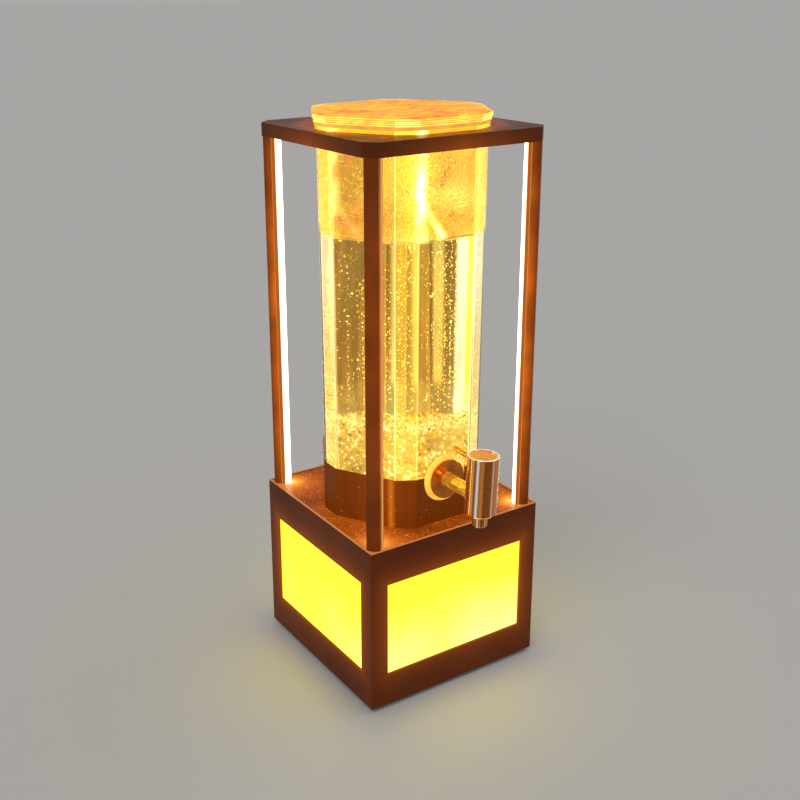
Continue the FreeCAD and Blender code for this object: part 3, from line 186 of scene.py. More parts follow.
class Recipe:
    """A node tree in the making, around one Principled shader."""

    def __init__(self, name: str) -> None:
        """Start a material.

        Args:
            name: the material's name.
        """
        self.material = bpy.data.materials.new(name)
        self.material.use_nodes = True
        self.tree = self.material.node_tree
        self.tree.nodes.clear()
        self.shader = self.tree.nodes.new("ShaderNodeBsdfPrincipled")
        output = self.tree.nodes.new("ShaderNodeOutputMaterial")
        self.tree.links.new(self.shader.outputs["BSDF"], output.inputs["Surface"])

    def feed(self, socket: bpy.types.NodeSocket, value: Feed) -> None:
        """Link a pattern to a node's input, or set the input to a plain value.

        Args:
            socket: the input.
            value: what goes into it.
        """
        if isinstance(value, Pattern):
            self.tree.links.new(value.socket, socket)
        else:
            socket.default_value = (*value, 1.0) if socket.type == "RGBA" else value

    def set(self, values: dict[Channel, Feed]) -> None:
        """Set shader sockets, each to one value all over the surface or to a pattern."""
        for channel, value in values.items():
            self.feed(self.shader.inputs[channel.value], value)

    def node(self, kind: str, feeds: dict, output: Union[int, str] = 0, **settings: object) -> Pattern:
        """Add a node.

        Args:
            kind: the node's type, without its ShaderNode prefix.
            feeds: what goes into its inputs, by their names or numbers.
            output: the name or number of the output that is wanted.
            settings: the node's own properties.

        Returns:
            The output.
        """
        made = self.tree.nodes.new("ShaderNode" + kind)
        for name, setting in settings.items():
            setattr(made, name, setting)
        for name, value in feeds.items():
            self.feed(made.inputs[name], value)
        return Pattern(self, made.outputs[output])

    def maths(self, operation: str, first: Feed, second: Feed = 0.0) -> Pattern:
        """Return a sum of one or two numbers or patterns."""
        return self.node("Math", {0: first, 1: second}, operation=operation)

    def place(self, scale: Sequence[float] = (1, 1, 1), turn: Sequence[float] = (0, 0, 0)) -> Pattern:
        """Find the place on the piece, measured from the tower's axis.

        Args:
            scale: how far it is stretched along each way.
            turn: how far it is turned about each axis, in degrees.

        Returns:
            The place, as a vector.
        """
        centred = self.node("TexCoord", {}, "Object").seen_from(tuple(AXIS))
        rotation = tuple(math.radians(angle) for angle in turn)
        return self.node("Mapping", {"Vector": centred, "Scale": tuple(scale), "Rotation": rotation})

    def height(self) -> Pattern:
        """Return the height above the surface that the tower stands on."""
        return self.place().part("Z")

    def reach(self) -> Pattern:
        """Return the distance from the tower's axis."""
        return self.place(scale=(1, 1, 0)).length()

    def beside(self) -> Pattern:
        """Return the distance from the nearer of the tower's two upright middle planes."""
        here = self.place()
        return self.maths("MINIMUM", abs(here.part("X")), abs(here.part("Y")))

    def around(self, step: float, start: float = -FACE_TURN) -> Pattern:
        """Return the angle about the axis from a start, counted afresh after every step, in degrees."""
        return (self.place().angle() + (360.0 - start)) % step

    def from_narrow(self) -> Pattern:
        """Return the angle to the middle of the barrel's nearest narrow face, in degrees."""
        return abs(self.around(TWO_FACES) - FACE_TURN)

    def sideways(self) -> Pattern:
        """Return one on faces that stand upright and nought on level ones."""
        return abs(self.node("NewGeometry", {}, "Normal").part("Z")).span(0.35, 0.6, 1.0, 0.0)

    def own(self, name: str) -> Pattern:
        """Return a number that the mesh itself carries."""
        return self.node("Attribute", {}, "Fac", attribute_name=name)

    def noise(self, scale: float, detail: float = 3.0, rough: float = 0.5, warp: float = 0.0,
              at: Optional[Pattern] = None) -> Pattern:
        """Make a cloudy pattern.

        Args:
            scale: about how many blotches come in a metre.
            detail: how many finer layers lie over them.
            rough: how strong the finer layers are.
            warp: how far the blotches are bent.
            at: where the pattern is read, or none for the place on the piece.

        Returns:
            The pattern, from 0 to 1.
        """
        feeds = {"Vector": at or self.place(), "Scale": scale, "Detail": detail, "Roughness": rough,
                 "Distortion": warp}
        return self.node("TexNoise", feeds)

    def mottle(self, scale: float, low: float, high: float, detail: float = 3.0) -> Pattern:
        """Return a cloudy pattern that ranges from low to high."""
        return self.noise(scale, detail).span(0.3, 0.7, low, high)

    def cells(self, scale: float) -> Pattern:
        """Return the distance from the middle within cells, about scale of them in a metre."""
        return self.node("TexVoronoi", {"Vector": self.place(), "Scale": scale}, "Distance")

    def relief(self, *layers: tuple[Pattern, float, float]) -> None:
        """Raise the surface.

        Args:
            layers: patterns, each with its strength and its depth in metres.
        """
        feeds = {}
        for height, strength, depth in layers:
            feeds.update({"Height": height, "Strength": strength, "Distance": depth})
            feeds["Normal"] = self.node("Bump", feeds)
        self.feed(self.shader.inputs["Normal"], feeds["Normal"])


@dataclass(frozen=True)
class Finish:
    """A look, which is made into a material."""

    name: str

    def material(self) -> bpy.types.Material:
        """Make the material.

        Returns:
            The finished material.
        """
        recipe = Recipe(self.name)
        self.mix(recipe)
        return recipe.material

    def mix(self, recipe: Recipe) -> None:
        """Give a recipe this look."""
        raise NotImplementedError


@dataclass(frozen=True)
class FramePaint(Finish):
    """Smooth bronze-brown stoving paint with a faint orange peel, and the colour of a painted warm glow on
    it.
    """

    dark: Colour = (0.135, 0.0230, 0.0025)
    light: Colour = (0.215, 0.0420, 0.0055)
    # colour of a painted glow, which stands for lamp light on the paint
    ember: Colour = (1.0, 0.21, 0.012)
    rough: float = 0.34

    def mix(self, recipe: Recipe) -> None:
        """Paint the ground coat, without its painted glow.

        Args:
            recipe: the material in the making.
        """
        recipe.set({
            Channel.COLOUR: recipe.noise(9.0, 4.0, 0.6).ramp((0.32, self.dark), (0.70, self.light)),
            Channel.ROUGH: recipe.mottle(55.0, self.rough - 0.05, self.rough + 0.10, detail=5.0),
            Channel.SHINE: 0.09, Channel.COAT: 0.03, Channel.COAT_ROUGH: 0.18, Channel.LIGHT: self.ember})
        recipe.relief((recipe.noise(420.0, 2.0), 0.10, 0.4 * MM), (recipe.noise(2600.0, 2.0), 0.05, 0.1 * MM))


@dataclass(frozen=True)
class TrayPaint(FramePaint):
    """Paint of the top tray, with a painted glow under the lid and along its edge above the barrel."""

    half: float = 80.0 * MM
    top: float = 440.5 * MM
    foot: float = 428.5 * MM

    def mix(self, recipe: Recipe) -> None:
        """Paint the tray and its painted glow.

        Args:
            recipe: the material in the making.
        """
        super().mix(recipe)
        # painted glow: along the middle of each side, stronger low down, and round the opening
        swell = recipe.beside().span(self.half, 0.0, 0.0, 1.0) ** 1.6
        low = recipe.height().span(self.top, self.foot, 0.35, 1.0)
        inner = recipe.reach().span(self.half * 1.06, self.half * 0.92, 0.0, 0.7)
        recipe.set({Channel.POWER: (swell * low).at_least(inner) * 0.20})


@dataclass(frozen=True)
class PostPaint(FramePaint):
    """Paint of a post, with a painted glow that grows towards the light bar it carries and half way up."""

    inner: float = 97.22 * MM
    foot: float = 137.0 * MM
    head: float = 430.0 * MM

    def mix(self, recipe: Recipe) -> None:
        """Paint the post and its painted glow.

        Args:
            recipe: the material in the making.
        """
        super().mix(recipe)
        # painted glow of the bar's light on the post, mottled, strongest half way up
        inward = recipe.reach().span(self.inner + 9.2 * MM, self.inner - 0.4 * MM, 0.12, 1.0)
        swell = recipe.maths("SINE", recipe.height().span(self.foot, self.head, 0.42, 2.72))
        cloud = recipe.noise(26.0, 2.0).span(0.36, 0.64, 0.62, 1.38)
        recipe.set({Channel.POWER: inward * swell ** 1.3 * cloud * 0.72})


@dataclass(frozen=True)
class LanternPaint(FramePaint):
    """Paint of the base, with a painted glow round its four windows and a painted highlight along its upper
    lip.
    """

    half_width: float = 65.3 * MM
    half_height: float = 39.0 * MM
    middle: float = 69.3 * MM
    lip: float = 137.8 * MM
    # colour of the painted highlight along the upper lip
    lip_light: Colour = (1.0, 0.62, 0.30)

    def mix(self, recipe: Recipe) -> None:
        """Paint the base with its painted glow and lip highlight.

        Args:
            recipe: the material in the making.
        """
        super().mix(recipe)
        height = recipe.height()
        # painted glow round the windows, fainter low down, a painted highlight line on the lip and a faint
        # painted glow all over
        across = (recipe.beside() - self.half_width).at_least(0.0)
        up = (abs(height - self.middle) - self.half_height).at_least(0.0)
        near = recipe.maths("SQRT", across * across + up * up).halving(GLOW_STEP)
        low = height.span(0.0, 60.0 * MM, 0.15, 1.0)
        lip = height.span(self.lip, self.lip + 0.3 * MM, 0.0, 0.45)
        recipe.set({Channel.LIGHT: lip.blend(self.ember, self.lip_light),
                    Channel.POWER: near * low * 0.17 + lip + 0.012})


@dataclass(frozen=True)
class HammeredPaint(Finish):
    """Grainy copper-brown paint of the deck, with gold flecks, painted glow, and painted light at the bars'
    feet.
    """

    dark: Colour = (0.15, 0.022, 0.0020)
    light: Colour = (0.32, 0.064, 0.0060)
    fleck: Colour = (0.95, 0.46, 0.12)
    # colours of the painted glow and of the painted pools of light, and the strength of the painted glow
    ember: Colour = (1.0, 0.20, 0.012)
    lit: Colour = (1.0, 0.62, 0.10)
    painted_glow: float = 0.34
    bar: float = 65.5 * MM

    def mix(self, recipe: Recipe) -> None:
        """Paint the deck, with its painted glow, glints and pools of light.

        Args:
            recipe: the material in the making.
        """
        dimple = recipe.cells(620.0)
        cloud = recipe.noise(26.0, 5.0, 0.65)
        # gold flecks: their colour is real, their light is a painted glint
        speck = recipe.noise(760.0, 1.0).span(0.66, 0.72, 0.0, 0.9)
        # painted pool of light at the foot of each light bar
        folded = recipe.node("VectorMath", {0: recipe.place(scale=(1, 1, 0))}, operation="ABSOLUTE")
        foot = folded.seen_from((self.bar, self.bar, 0)).length().halving(GLOW_STEP)
        recipe.set({
            Channel.COLOUR: speck.blend(cloud.ramp((0.34, self.dark), (0.68, self.light)), self.fleck),
            Channel.ROUGH: dimple.span(0.0, 0.7, 0.24, 0.44),
            Channel.METAL: 0.10, Channel.SHINE: 0.06, Channel.COAT: 0.02, Channel.COAT_ROUGH: 0.22,
            Channel.LIGHT: foot.blend(self.ember, self.lit),
            Channel.POWER: cloud * self.painted_glow + speck * 0.22 + foot * 1.5})
        recipe.relief((dimple, 0.5, 0.5 * MM), (recipe.noise(2400.0, 2.0), 0.25, 0.2 * MM))


@dataclass(frozen=True)
class LitPanel(Finish):
    """Opal sheet with lamps behind it: full yellow, paler where the lamps are near."""

    ground: Colour = (0.9, 0.62, 0.05)
    full: Colour = (1.0, 0.86, 0.022)
    pale: Colour = (1.0, 0.93, 0.30)
    power: float = 1.15

    def mix(self, recipe: Recipe) -> None:
        """Light the sheet.

        Args:
            recipe: the material in the making.
        """
        low = recipe.height().span(30.0 * MM, 85.0 * MM, 1.0, 0.0)
        front = recipe.place().part("Y").span(-80.0 * MM, 20.0 * MM, 1.0, 0.25)
        cloud = recipe.noise(17.0, 1.0, 0.4).span(0.35, 0.65, 0.3, 1.0)
        recipe.set({
            Channel.COLOUR: self.ground, Channel.ROUGH: recipe.mottle(300.0, 0.38, 0.50), Channel.SHINE: 0.25,
            Channel.LIGHT: (low * front * cloud).blend(self.full, self.pale), Channel.POWER: self.power})
        recipe.relief((recipe.noise(700.0, 2.0), 0.08, 0.2 * MM))


@dataclass(frozen=True)
class LitBar(Finish):
    """Opal bar over a lamp strip: near white, brighter over each lamp, with laps painted like the post."""

    glow: Colour = (1.0, 0.84, 0.58)
    amber: Colour = (1.0, 0.50, 0.10)
    ember: Colour = (1.0, 0.24, 0.02)
    paint: Colour = (0.24, 0.050, 0.008)
    opal: Colour = (0.92, 0.86, 0.74)
    power: float = 5.5
    first: float = 159.5 * MM
    pitch: float = 16.7 * MM
    lap: float = 97.22 * MM

    def mix(self, recipe: Recipe) -> None:
        """Light the bar.

        Args:
            recipe: the material in the making.
        """
        beat = (recipe.height() - self.first).beat(self.pitch)
        lamp = beat.span(-1.0, 1.0, self.power * 0.92, self.power * 1.08)
        # the laps are painted brown like the post and carry a painted glow like it
        face = recipe.reach().span(self.lap - 0.15 * MM, self.lap - 1.25 * MM, 0.0, 1.0)
        end = recipe.reach().span(self.lap + 2.0 * MM, self.lap + 2.25 * MM, 0.0, 1.0)
        shade = face.at_least(end * 0.50)
        recipe.set({
            Channel.COLOUR: face.blend(self.paint, self.opal),
            Channel.ROUGH: recipe.mottle(260.0, 0.34, 0.46), Channel.SHINE: 0.25,
            Channel.LIGHT: shade.ramp((0.0, self.ember), (0.45, self.amber), (0.9, self.glow)),
            Channel.POWER: face ** 2.0 * lamp + 0.30 + end * 0.30})


@dataclass(frozen=True)
class Moulding(Finish):
    """Solid moulded plastic or rubber with a fine skin texture."""

    dark: Colour
    light: Colour
    rough: float
    grain: float = 1300.0
    depth: float = 0.2 * MM
    coat: float = 0.0

    def mix(self, recipe: Recipe) -> None:
        """Colour and grain the plastic.

        Args:
            recipe: the material in the making.
        """
        recipe.set({
            Channel.COLOUR: recipe.noise(38.0, 4.0).ramp((0.3, self.dark), (0.7, self.light)),
            Channel.ROUGH: recipe.mottle(150.0, self.rough - 0.06, self.rough + 0.06),
            Channel.COAT: self.coat})
        recipe.relief((recipe.noise(self.grain, 2.0), 0.3, self.depth))


@dataclass(frozen=True)
class SocketGloss(Finish):
    """Glossy dark brown cup: faint upright streaks, dried drops, and a painted reflection facing each light
    bar.
    """

    dark: Colour = (0.140, 0.0230, 0.0015)
    light: Colour = (0.180, 0.0330, 0.0030)
    drop: Colour = (0.75, 0.52, 0.30)
    # colours of the painted glow and of the painted reflection strips
    ember: Colour = (1.0, 0.24, 0.010)
    lit: Colour = (1.0, 0.38, 0.025)
    facing_bar: float = 50.0            # degrees of around() at which a light bar is nearest

    def mix(self, recipe: Recipe) -> None:
        """Colour the cup and paint its reflections and glow.

        Args:
            recipe: the material in the making.
        """
        streak = recipe.noise(150.0, 2.0, at=recipe.place(scale=(1, 1, 0.03)))
        drops = recipe.cells(150.0).span(0.055, 0.075, 0.8, 0.0)
        # painted reflection strip facing each light bar, and a faint painted glow all over
        strip = abs(recipe.around(90.0, start=0.0) - self.facing_bar).span(0.5, 3.2, 0.34, 0.0)
        recipe.set({
            Channel.COLOUR: drops.blend(streak.ramp((0.30, self.dark), (0.72, self.light)), self.drop),
            Channel.ROUGH: streak.span(0.3, 0.7, 0.14, 0.26),
            Channel.SHINE: 0.05, Channel.COAT: 0.03, Channel.COAT_ROUGH: 0.10,
            Channel.LIGHT: strip.blend(self.ember, self.lit),
            Channel.POWER: strip * recipe.sideways() + 0.065})
        recipe.relief((streak, 0.05, 0.2 * MM))


@dataclass(frozen=True)
class ClearBarrel(Finish):
    """Clear warm plastic of the barrel: painted highlights along its upright edges, misted and beaded above
    the drink.
    """

    tint: Colour = (1.0, 0.95, 0.74)
    damp: Colour = (1.0, 0.80, 0.28)
    # mist: the misted wall's colour, partly real mist and partly painted orange light; pink, amber and yellow
    # colour the painted glow, edge the painted edge highlights, white the painted reflections
    mist: Colour = (0.95, 0.46, 0.06)
    pink: Colour = (1.0, 0.24, 0.085)
    amber: Colour = (1.0, 0.46, 0.040)
    yellow: Colour = (1.0, 0.74, 0.055)
    edge: Colour = (1.0, 0.82, 0.30)
    white: Colour = (1.0, 0.93, 0.64)
    corner: float = 7.4                 # degrees from a narrow face's middle to its edge
    streak: float = 39.0                # degrees of around() at which the light is caught
    level: float = 362.0 * MM

    def mix(self, recipe: Recipe) -> None:
        """Tint and mist the plastic, and paint its highlights, reflections and glow.

        Args:
            recipe: the material in the making.
        """
        above = recipe.height().span(self.level - 0.5 * MM, self.level + 3.0 * MM, 0.0, 1.0)
        off = recipe.from_narrow()
        # painted glow on the narrow faces, and a painted highlight line along their edges
        narrow = off.span(self.corner - 0.5, self.corner + 0.3, 1.0, 0.0)
        line = abs(off - self.corner).span(0.12, 0.42, 1.0, 0.0) * recipe.sideways()
        cloud = recipe.noise(66.0, 8.0, 0.80, 1.2).span(0.43, 0.58, 0.04, 1.0)
        misted = above * (cloud * recipe.cells(560.0).span(0.16, 0.44, 1.0, 0.15))
        # painted white highlight on every other narrow face, below the drink's level
        tall = recipe.height().span(225.0 * MM, 335.0 * MM, 0.25, 1.0)
        bright = narrow * tall * self.swing(recipe).span(0.0, -0.8, 0.0, 1.0)
        caught = self.caught(recipe) * above
        # painted glow in patches of pink, amber and yellow, and painted reflections in white
        patches = recipe.noise(34.0, 5.0, 0.7, 0.8)
        hue = patches.ramp((0.44, self.pink), (0.50, self.amber), (0.55, self.yellow))
        hue = caught.blend(narrow.blend(hue, self.yellow), self.white)
        hue = (bright * above.span(0.0, 1.0, 1.0, 0.0)).blend(hue, self.white)
        # painted glow of the mist, with a faint painted glow over all of the wall above the drink
        mist_glow = misted * 0.32 + above * 0.02
        lit = narrow * 0.09 + bright * above.span(0.0, 1.0, 0.17, 0.10)
        recipe.set({
            Channel.COLOUR: misted.blend(above.blend(self.tint, self.damp), self.mist),
            Channel.ROUGH: misted.span(0.0, 1.0, 0.015, 0.24),
            Channel.CLEAR: misted.span(0.0, 1.0, 1.0, 0.84), Channel.IOR: 1.49, Channel.SHINE: 0.35,
            Channel.LIGHT: line.blend(hue, self.edge),
            Channel.POWER: mist_glow + lit + caught * 1.25 + line * 0.36})
        recipe.relief((misted, 0.6, 0.4 * MM), (recipe.noise(18.0, 1.0), 0.03, 2.0 * MM))

    def caught(self, recipe: Recipe) -> Pattern:
        """Paint the reflections of the light bars on the wet wall.

        Args:
            recipe: the material in the making.

        Returns:
            One on a streak beside each narrow face, and on a slanted branch at the streak's foot.
        """
        around = recipe.around(TWO_FACES) + recipe.noise(70.0, 5.0, 0.7).span(0.3, 0.7, -2.6, 2.6)
        height = recipe.height()
        upright = abs(around - self.streak).span(1.4, 5.6, 1.0, 0.0)
        slant = height.span(self.level + 4.0 * MM, self.level + 27.0 * MM, self.streak + 17.0, self.streak)
        foot = height.span(self.level + 20.0 * MM, self.level + 30.0 * MM, 1.0, 0.0)
        branch = abs(around - slant).span(1.0, 5.6, 0.85, 0.0) * foot
        fade = recipe.noise(34.0, 2.0).span(0.38, 0.60, 0.35, 1.0)
        return upright.at_least(branch) * (fade * self.swing(recipe).span(-0.5, 0.5, 0.35, 1.0))

    def swing(self, recipe: Recipe) -> Pattern:
        """Return a number that swings between one and minus one from each narrow face to the next."""
        return recipe.place().angle().beat(2 * TWO_FACES)


@dataclass(frozen=True)
class Beverage(Finish):
    """Pale beer with painted light and shade from its sides: yellow and amber bands with olive shade between
    them.
    """

    yellow: Colour = (1.0, 0.76, 0.20)
    amber: Colour = (0.86, 0.44, 0.026)
    olive: Colour = (0.46, 0.32, 0.028)
    pale: Colour = (1.0, 0.93, 0.58)
    glow: Colour = (1.0, 0.55, 0.03)
    white: Colour = (1.0, 0.96, 0.74)
    streak: float = 74.0                # degrees of around() at which the light is caught
    bed: float = 222.0 * MM

    def mix(self, recipe: Recipe) -> None:
        """Paint the drink's bands of light and shade, its glow and its highlights.

        Args:
            recipe: the material in the making.
        """
        # painted light and shade: upright yellow and amber bands with olive shade between, which also glow
        bands = recipe.noise(42.0, 4.0, 0.60, 0.3, at=recipe.place(scale=(1, 1, 0.13)))
        shade = bands.ramp((0.40, self.olive), (0.52, self.amber), (0.66, self.yellow))
        low = recipe.height().span(self.bed - 4.0 * MM, self.bed + 6.0 * MM, 1.0, 0.0)
        # painted glow on the narrow faces, and a painted highlight streak where the light bars are caught
        narrow = recipe.from_narrow().span(6.6, 7.8, 0.05, 0.0)
        streak = abs(recipe.around(2 * TWO_FACES) - self.streak).span(3.4, 6.4, 1.0, 0.0)
        fade = recipe.noise(16.0, 2.0).span(0.30, 0.50, 0.45, 1.0)
        caught = streak * (fade * recipe.sideways()) * low.span(0.0, 1.0, 1.0, 0.15)
        recipe.set({
            Channel.COLOUR: low.blend(shade, self.pale), Channel.ROUGH: 0.01,
            Channel.CLEAR: 1.0, Channel.IOR: 1.335, Channel.LIGHT: caught.blend(self.glow, self.white),
            Channel.POWER: bands.span(0.46, 0.70, 0.02, 0.13) + narrow + caught * 0.95})
        recipe.relief((recipe.noise(60.0, 2.0, 0.5, 0.6), 0.06, 1.0 * MM))


@dataclass(frozen=True)
class Sparkle(Finish):
    """Small bright things in the drink, each of its own shade from the number that its mesh carries, with a
    painted glow.
    """

    stops: tuple[tuple[float, Colour], ...]
    # strength of the painted glow on each lump
    power: float
    clear: float
    rough: float = 0.08
    ior: float = 1.35

    def mix(self, recipe: Recipe) -> None:
        """Colour each lump and give it a painted glow.

        Args:
            recipe: the material in the making.
        """
        own = recipe.own("shade")
        shade = own.ramp(*self.stops)
        recipe.set({
            Channel.COLOUR: shade, Channel.LIGHT: shade,
            Channel.POWER: own.span(0.0, 1.0, self.power * 0.35, self.power),
            Channel.CLEAR: self.clear, Channel.IOR: self.ior, Channel.ROUGH: self.rough,
            Channel.COAT: 0.5, Channel.COAT_ROUGH: 0.05})
        recipe.relief((recipe.noise(900.0, 2.0), 0.3, 0.3 * MM))


@dataclass(frozen=True)
class AmberSheet(Finish):
    """Clear amber sheet of the lid: streaked where it is wet, with a painted glow and painted lines of light
    along its cut sides.
    """

    deep: Colour = (0.88, 0.46, 0.022)
    light: Colour = (1.0, 0.66, 0.060)
    # colours of the painted glow and of the painted lines of light
    ember: Colour = (1.0, 0.46, 0.015)
    glow: Colour = (1.0, 0.72, 0.050)
    line: Colour = (1.0, 0.72, 0.20)
    clear: float = 0.92
    ior: float = 1.04
    seam: float = 448.1 * MM
    pitch: float = 1.5 * MM

    def mix(self, recipe: Recipe) -> None:
        """Streak the sheet and paint its glow and its lines of light.

        Args:
            recipe: the material in the making.
        """
        streak = recipe.noise(64.0, 8.0, 0.72, 0.9, at=recipe.place(scale=(0.7, 1.2, 1), turn=(0, 0, 38)))
        side = recipe.sideways()
        # painted lines of light on the cut sides, and a painted glow on the narrow faces and in the streaks
        lines = (recipe.height() - self.seam).beat(self.pitch).span(-0.2, -0.9, 0.05, 0.70) * side
        narrow = recipe.from_narrow().span(6.8, 7.6, 0.45, 0.0) * side
        stops = ((0.36, self.deep), (0.52, self.light), (0.60, self.deep), (0.72, self.light))
        hue = streak.ramp((0.44, self.ember), (0.60, self.glow))
        recipe.set({
            Channel.COLOUR: streak.ramp(*stops), Channel.ROUGH: streak.span(0.35, 0.65, 0.03, 0.26),
            Channel.CLEAR: self.clear, Channel.IOR: self.ior, Channel.SHINE: 0.25,
            Channel.LIGHT: side.blend(hue, self.line),
            Channel.POWER: lines + narrow + streak.span(0.44, 0.66, 0.12, 0.36)})
        recipe.relief((streak, 0.25, 0.8 * MM))


@dataclass(frozen=True)
class Translucent(Finish):
    """Soft amber silicone that light soaks through, shown as a painted glow."""

    colour: Colour
    glow: Colour
    power: float

    def mix(self, recipe: Recipe) -> None:
        """Colour the silicone and give it its painted glow.

        Args:
            recipe: the material in the making.
        """
        cloud = recipe.noise(120.0)
        deep = tuple(0.72 * part for part in self.colour)
        recipe.set({
            Channel.COLOUR: cloud.ramp((0.3, deep), (0.7, self.colour)),
            Channel.ROUGH: cloud.span(0.3, 0.7, 0.30, 0.42), Channel.SOFT: 0.35, Channel.SOFT_DEPTH: 3.0 * MM,
            Channel.LIGHT: self.glow,
            Channel.POWER: cloud.span(0.3, 0.7, self.power * 0.8, self.power * 1.2)})
        recipe.relief((recipe.noise(800.0, 2.0), 0.12, 0.2 * MM))


@dataclass(frozen=True)
class Metal(Finish):
    """Polished, turned or brushed metal, with fine marks that lie across the way of the stretch."""

    dark: Colour
    light: Colour
    rough: float
    brush: float = 0.3
    stretch: Sequence[float] = (1.0, 1.0, 40.0)

    def mix(self, recipe: Recipe) -> None:
        """Colour and brush the metal.

        Args:
            recipe: the material in the making.
        """
        smear = recipe.noise(45.0, 4.0, 0.6)
        recipe.set({
            Channel.COLOUR: smear.ramp((0.32, self.dark), (0.62, self.light)), Channel.METAL: 1.0,
            Channel.ROUGH: smear.span(0.35, 0.7, self.rough, self.rough + 0.09), Channel.BRUSH: self.brush})
        recipe.relief((recipe.noise(22.5, 3.0, 0.6, at=recipe.place(scale=self.stretch)), 0.18, 0.06 * MM))


@dataclass(frozen=True)
class StreakedChrome(Finish):
    """Mirror chrome with painted reflections of the warm room: upright streaks round the tap's axis, gold on
    its shank.
    """

    centre: tuple[float, float, float] = (0.00118, -0.1074, 0.202)
    lean: float = 2.4                   # degrees by which the tap's axis leans
    facing: float = 122.0               # degrees by which the streaks are turned about it
    crown: float = 6.7 * MM             # height of the cap's rim over the centre
    shank: float = 12.4 * MM            # distance from the axis at which the shank begins
    # strength of the painted glow, and colours of the painted reflections: gold on the shank, a highlight on
    # the cap's rim, streaks elsewhere
    power: float = 0.15
    shank_reflection: tuple[Colour, Colour] = ((0.85, 0.36, 0.03), (1.0, 0.66, 0.08))
    edge: Colour = (1.0, 0.86, 0.66)
    stops: tuple[tuple[float, Colour], ...] = (
        (0.020, (0.36, 0.13, 0.040)), (0.060, (0.95, 0.80, 0.66)), (0.085, (0.26, 0.09, 0.030)),
        (0.180, (0.62, 0.24, 0.050)), (0.240, (0.90, 0.72, 0.55)), (0.262, (0.60, 0.24, 0.05)),
        (0.350, (0.50, 0.17, 0.035)), (0.375, (1.00, 0.60, 0.12)), (0.395, (0.42, 0.15, 0.045)),
        (0.412, (0.34, 0.12, 0.040)), (0.424, (1.00, 0.93, 0.86)), (0.440, (1.00, 0.90, 0.82)),
        (0.450, (0.42, 0.16, 0.06)), (0.470, (0.72, 0.26, 0.05)), (0.490, (0.66, 0.22, 0.045)),
        (0.500, (0.26, 0.080, 0.020)), (0.560, (0.30, 0.095, 0.025)), (0.580, (0.42, 0.15, 0.045)),
        (0.590, (0.98, 0.74, 0.52)), (0.602, (0.56, 0.20, 0.07)), (0.670, (0.66, 0.26, 0.09)),
        (0.700, (1.00, 0.90, 0.80)), (0.730, (0.50, 0.20, 0.08)), (0.820, (0.30, 0.11, 0.04)),
        (0.860, (0.95, 0.76, 0.56)), (0.890, (0.34, 0.12, 0.04)), (0.980, (0.60, 0.22, 0.05)))

    def mix(self, recipe: Recipe) -> None:
        """Paint reflections on the chrome in streaks round the tap's leaning axis.

        Args:
            recipe: the material in the making.
        """
        spot = recipe.place().seen_from(self.centre)
        upright = recipe.node("Mapping", {"Vector": spot, "Rotation": (0, math.radians(-self.lean), 0)})
        turned = recipe.node("Mapping", {"Vector": upright, "Rotation": (0, 0, math.radians(self.facing))})
        away = recipe.node("Mapping", {"Vector": upright, "Scale": (1, 1, 0)}).length()
        share = turned.angle().span(-180.0, 180.0, 0.0, 1.0) + recipe.mottle(30.0, -0.006, 0.006, detail=2.0)
        shank = away.span(self.shank, self.shank + 1.0 * MM, 0.0, 1.0)
        # painted highlight along the cap's rim
        rim = upright.part("Z").span(self.crown - 0.55 * MM, self.crown - 0.25 * MM, 0.0, 1.0)
        # painted gold reflection of the lit drink on the shank
        shank_reflection = recipe.noise(210.0).ramp((0.40, self.shank_reflection[0]), (0.62, self.shank_reflection[1]))
        streaks = rim.blend(shank.blend(share.ramp(*self.stops), shank_reflection), self.edge)
        recipe.set({
            Channel.COLOUR: streaks, Channel.METAL: 1.0, Channel.BRUSH: 0.3,
            Channel.ROUGH: recipe.noise(45.0, 4.0).span(0.35, 0.7, 0.05, 0.12), Channel.LIGHT: streaks,
            Channel.POWER: shank.span(0.0, 1.0, self.power, 0.34) + rim * 0.45})
        recipe.relief((recipe.noise(22.0, 3.0, 0.6, at=recipe.place(scale=(1, 1, 40))), 0.12, 0.05 * MM))


@dataclass(frozen=True)
class CopperDisc(Finish):
    """Satin copper-coloured disc, spun in fine rings about its middle, with a painted rim highlight and a
    painted glow.
    """

    centre: tuple[float, float, float] = (0.00145, -0.1074, 0.2065)
    dark: Colour = (0.66, 0.24, 0.030)
    light: Colour = (1.0, 0.50, 0.09)
    # colours of the painted rim highlight and of the painted glow
    edge: Colour = (1.0, 0.78, 0.52)
    ember: Colour = (1.0, 0.36, 0.03)
    radius: float = 10.6 * MM

    def mix(self, recipe: Recipe) -> None:
        """Spin the disc, and paint its rim highlight and glow.

        Args:
            recipe: the material in the making.
        """
        spot = recipe.place().seen_from(self.centre)
        feeds = {"Vector": spot, "Scale": 620.0, "Distortion": 1.5, "Detail": 2.0}
        rings = recipe.node("TexWave", feeds, "Fac", wave_type="RINGS", rings_direction="Z")
        # painted highlight round the rim
        edge = spot.length().span(self.radius - 1.0 * MM, self.radius, 0.0, 1.0)
        recipe.set({
            Channel.COLOUR: edge.blend(rings.ramp((0.2, self.dark), (0.9, self.light)), self.edge),
            Channel.METAL: 0.7, Channel.BRUSH: 0.4, Channel.ROUGH: rings.span(0.0, 1.0, 0.24, 0.36),
            Channel.LIGHT: self.ember, Channel.POWER: 0.30})
        recipe.relief((rings, 0.15, 0.1 * MM))


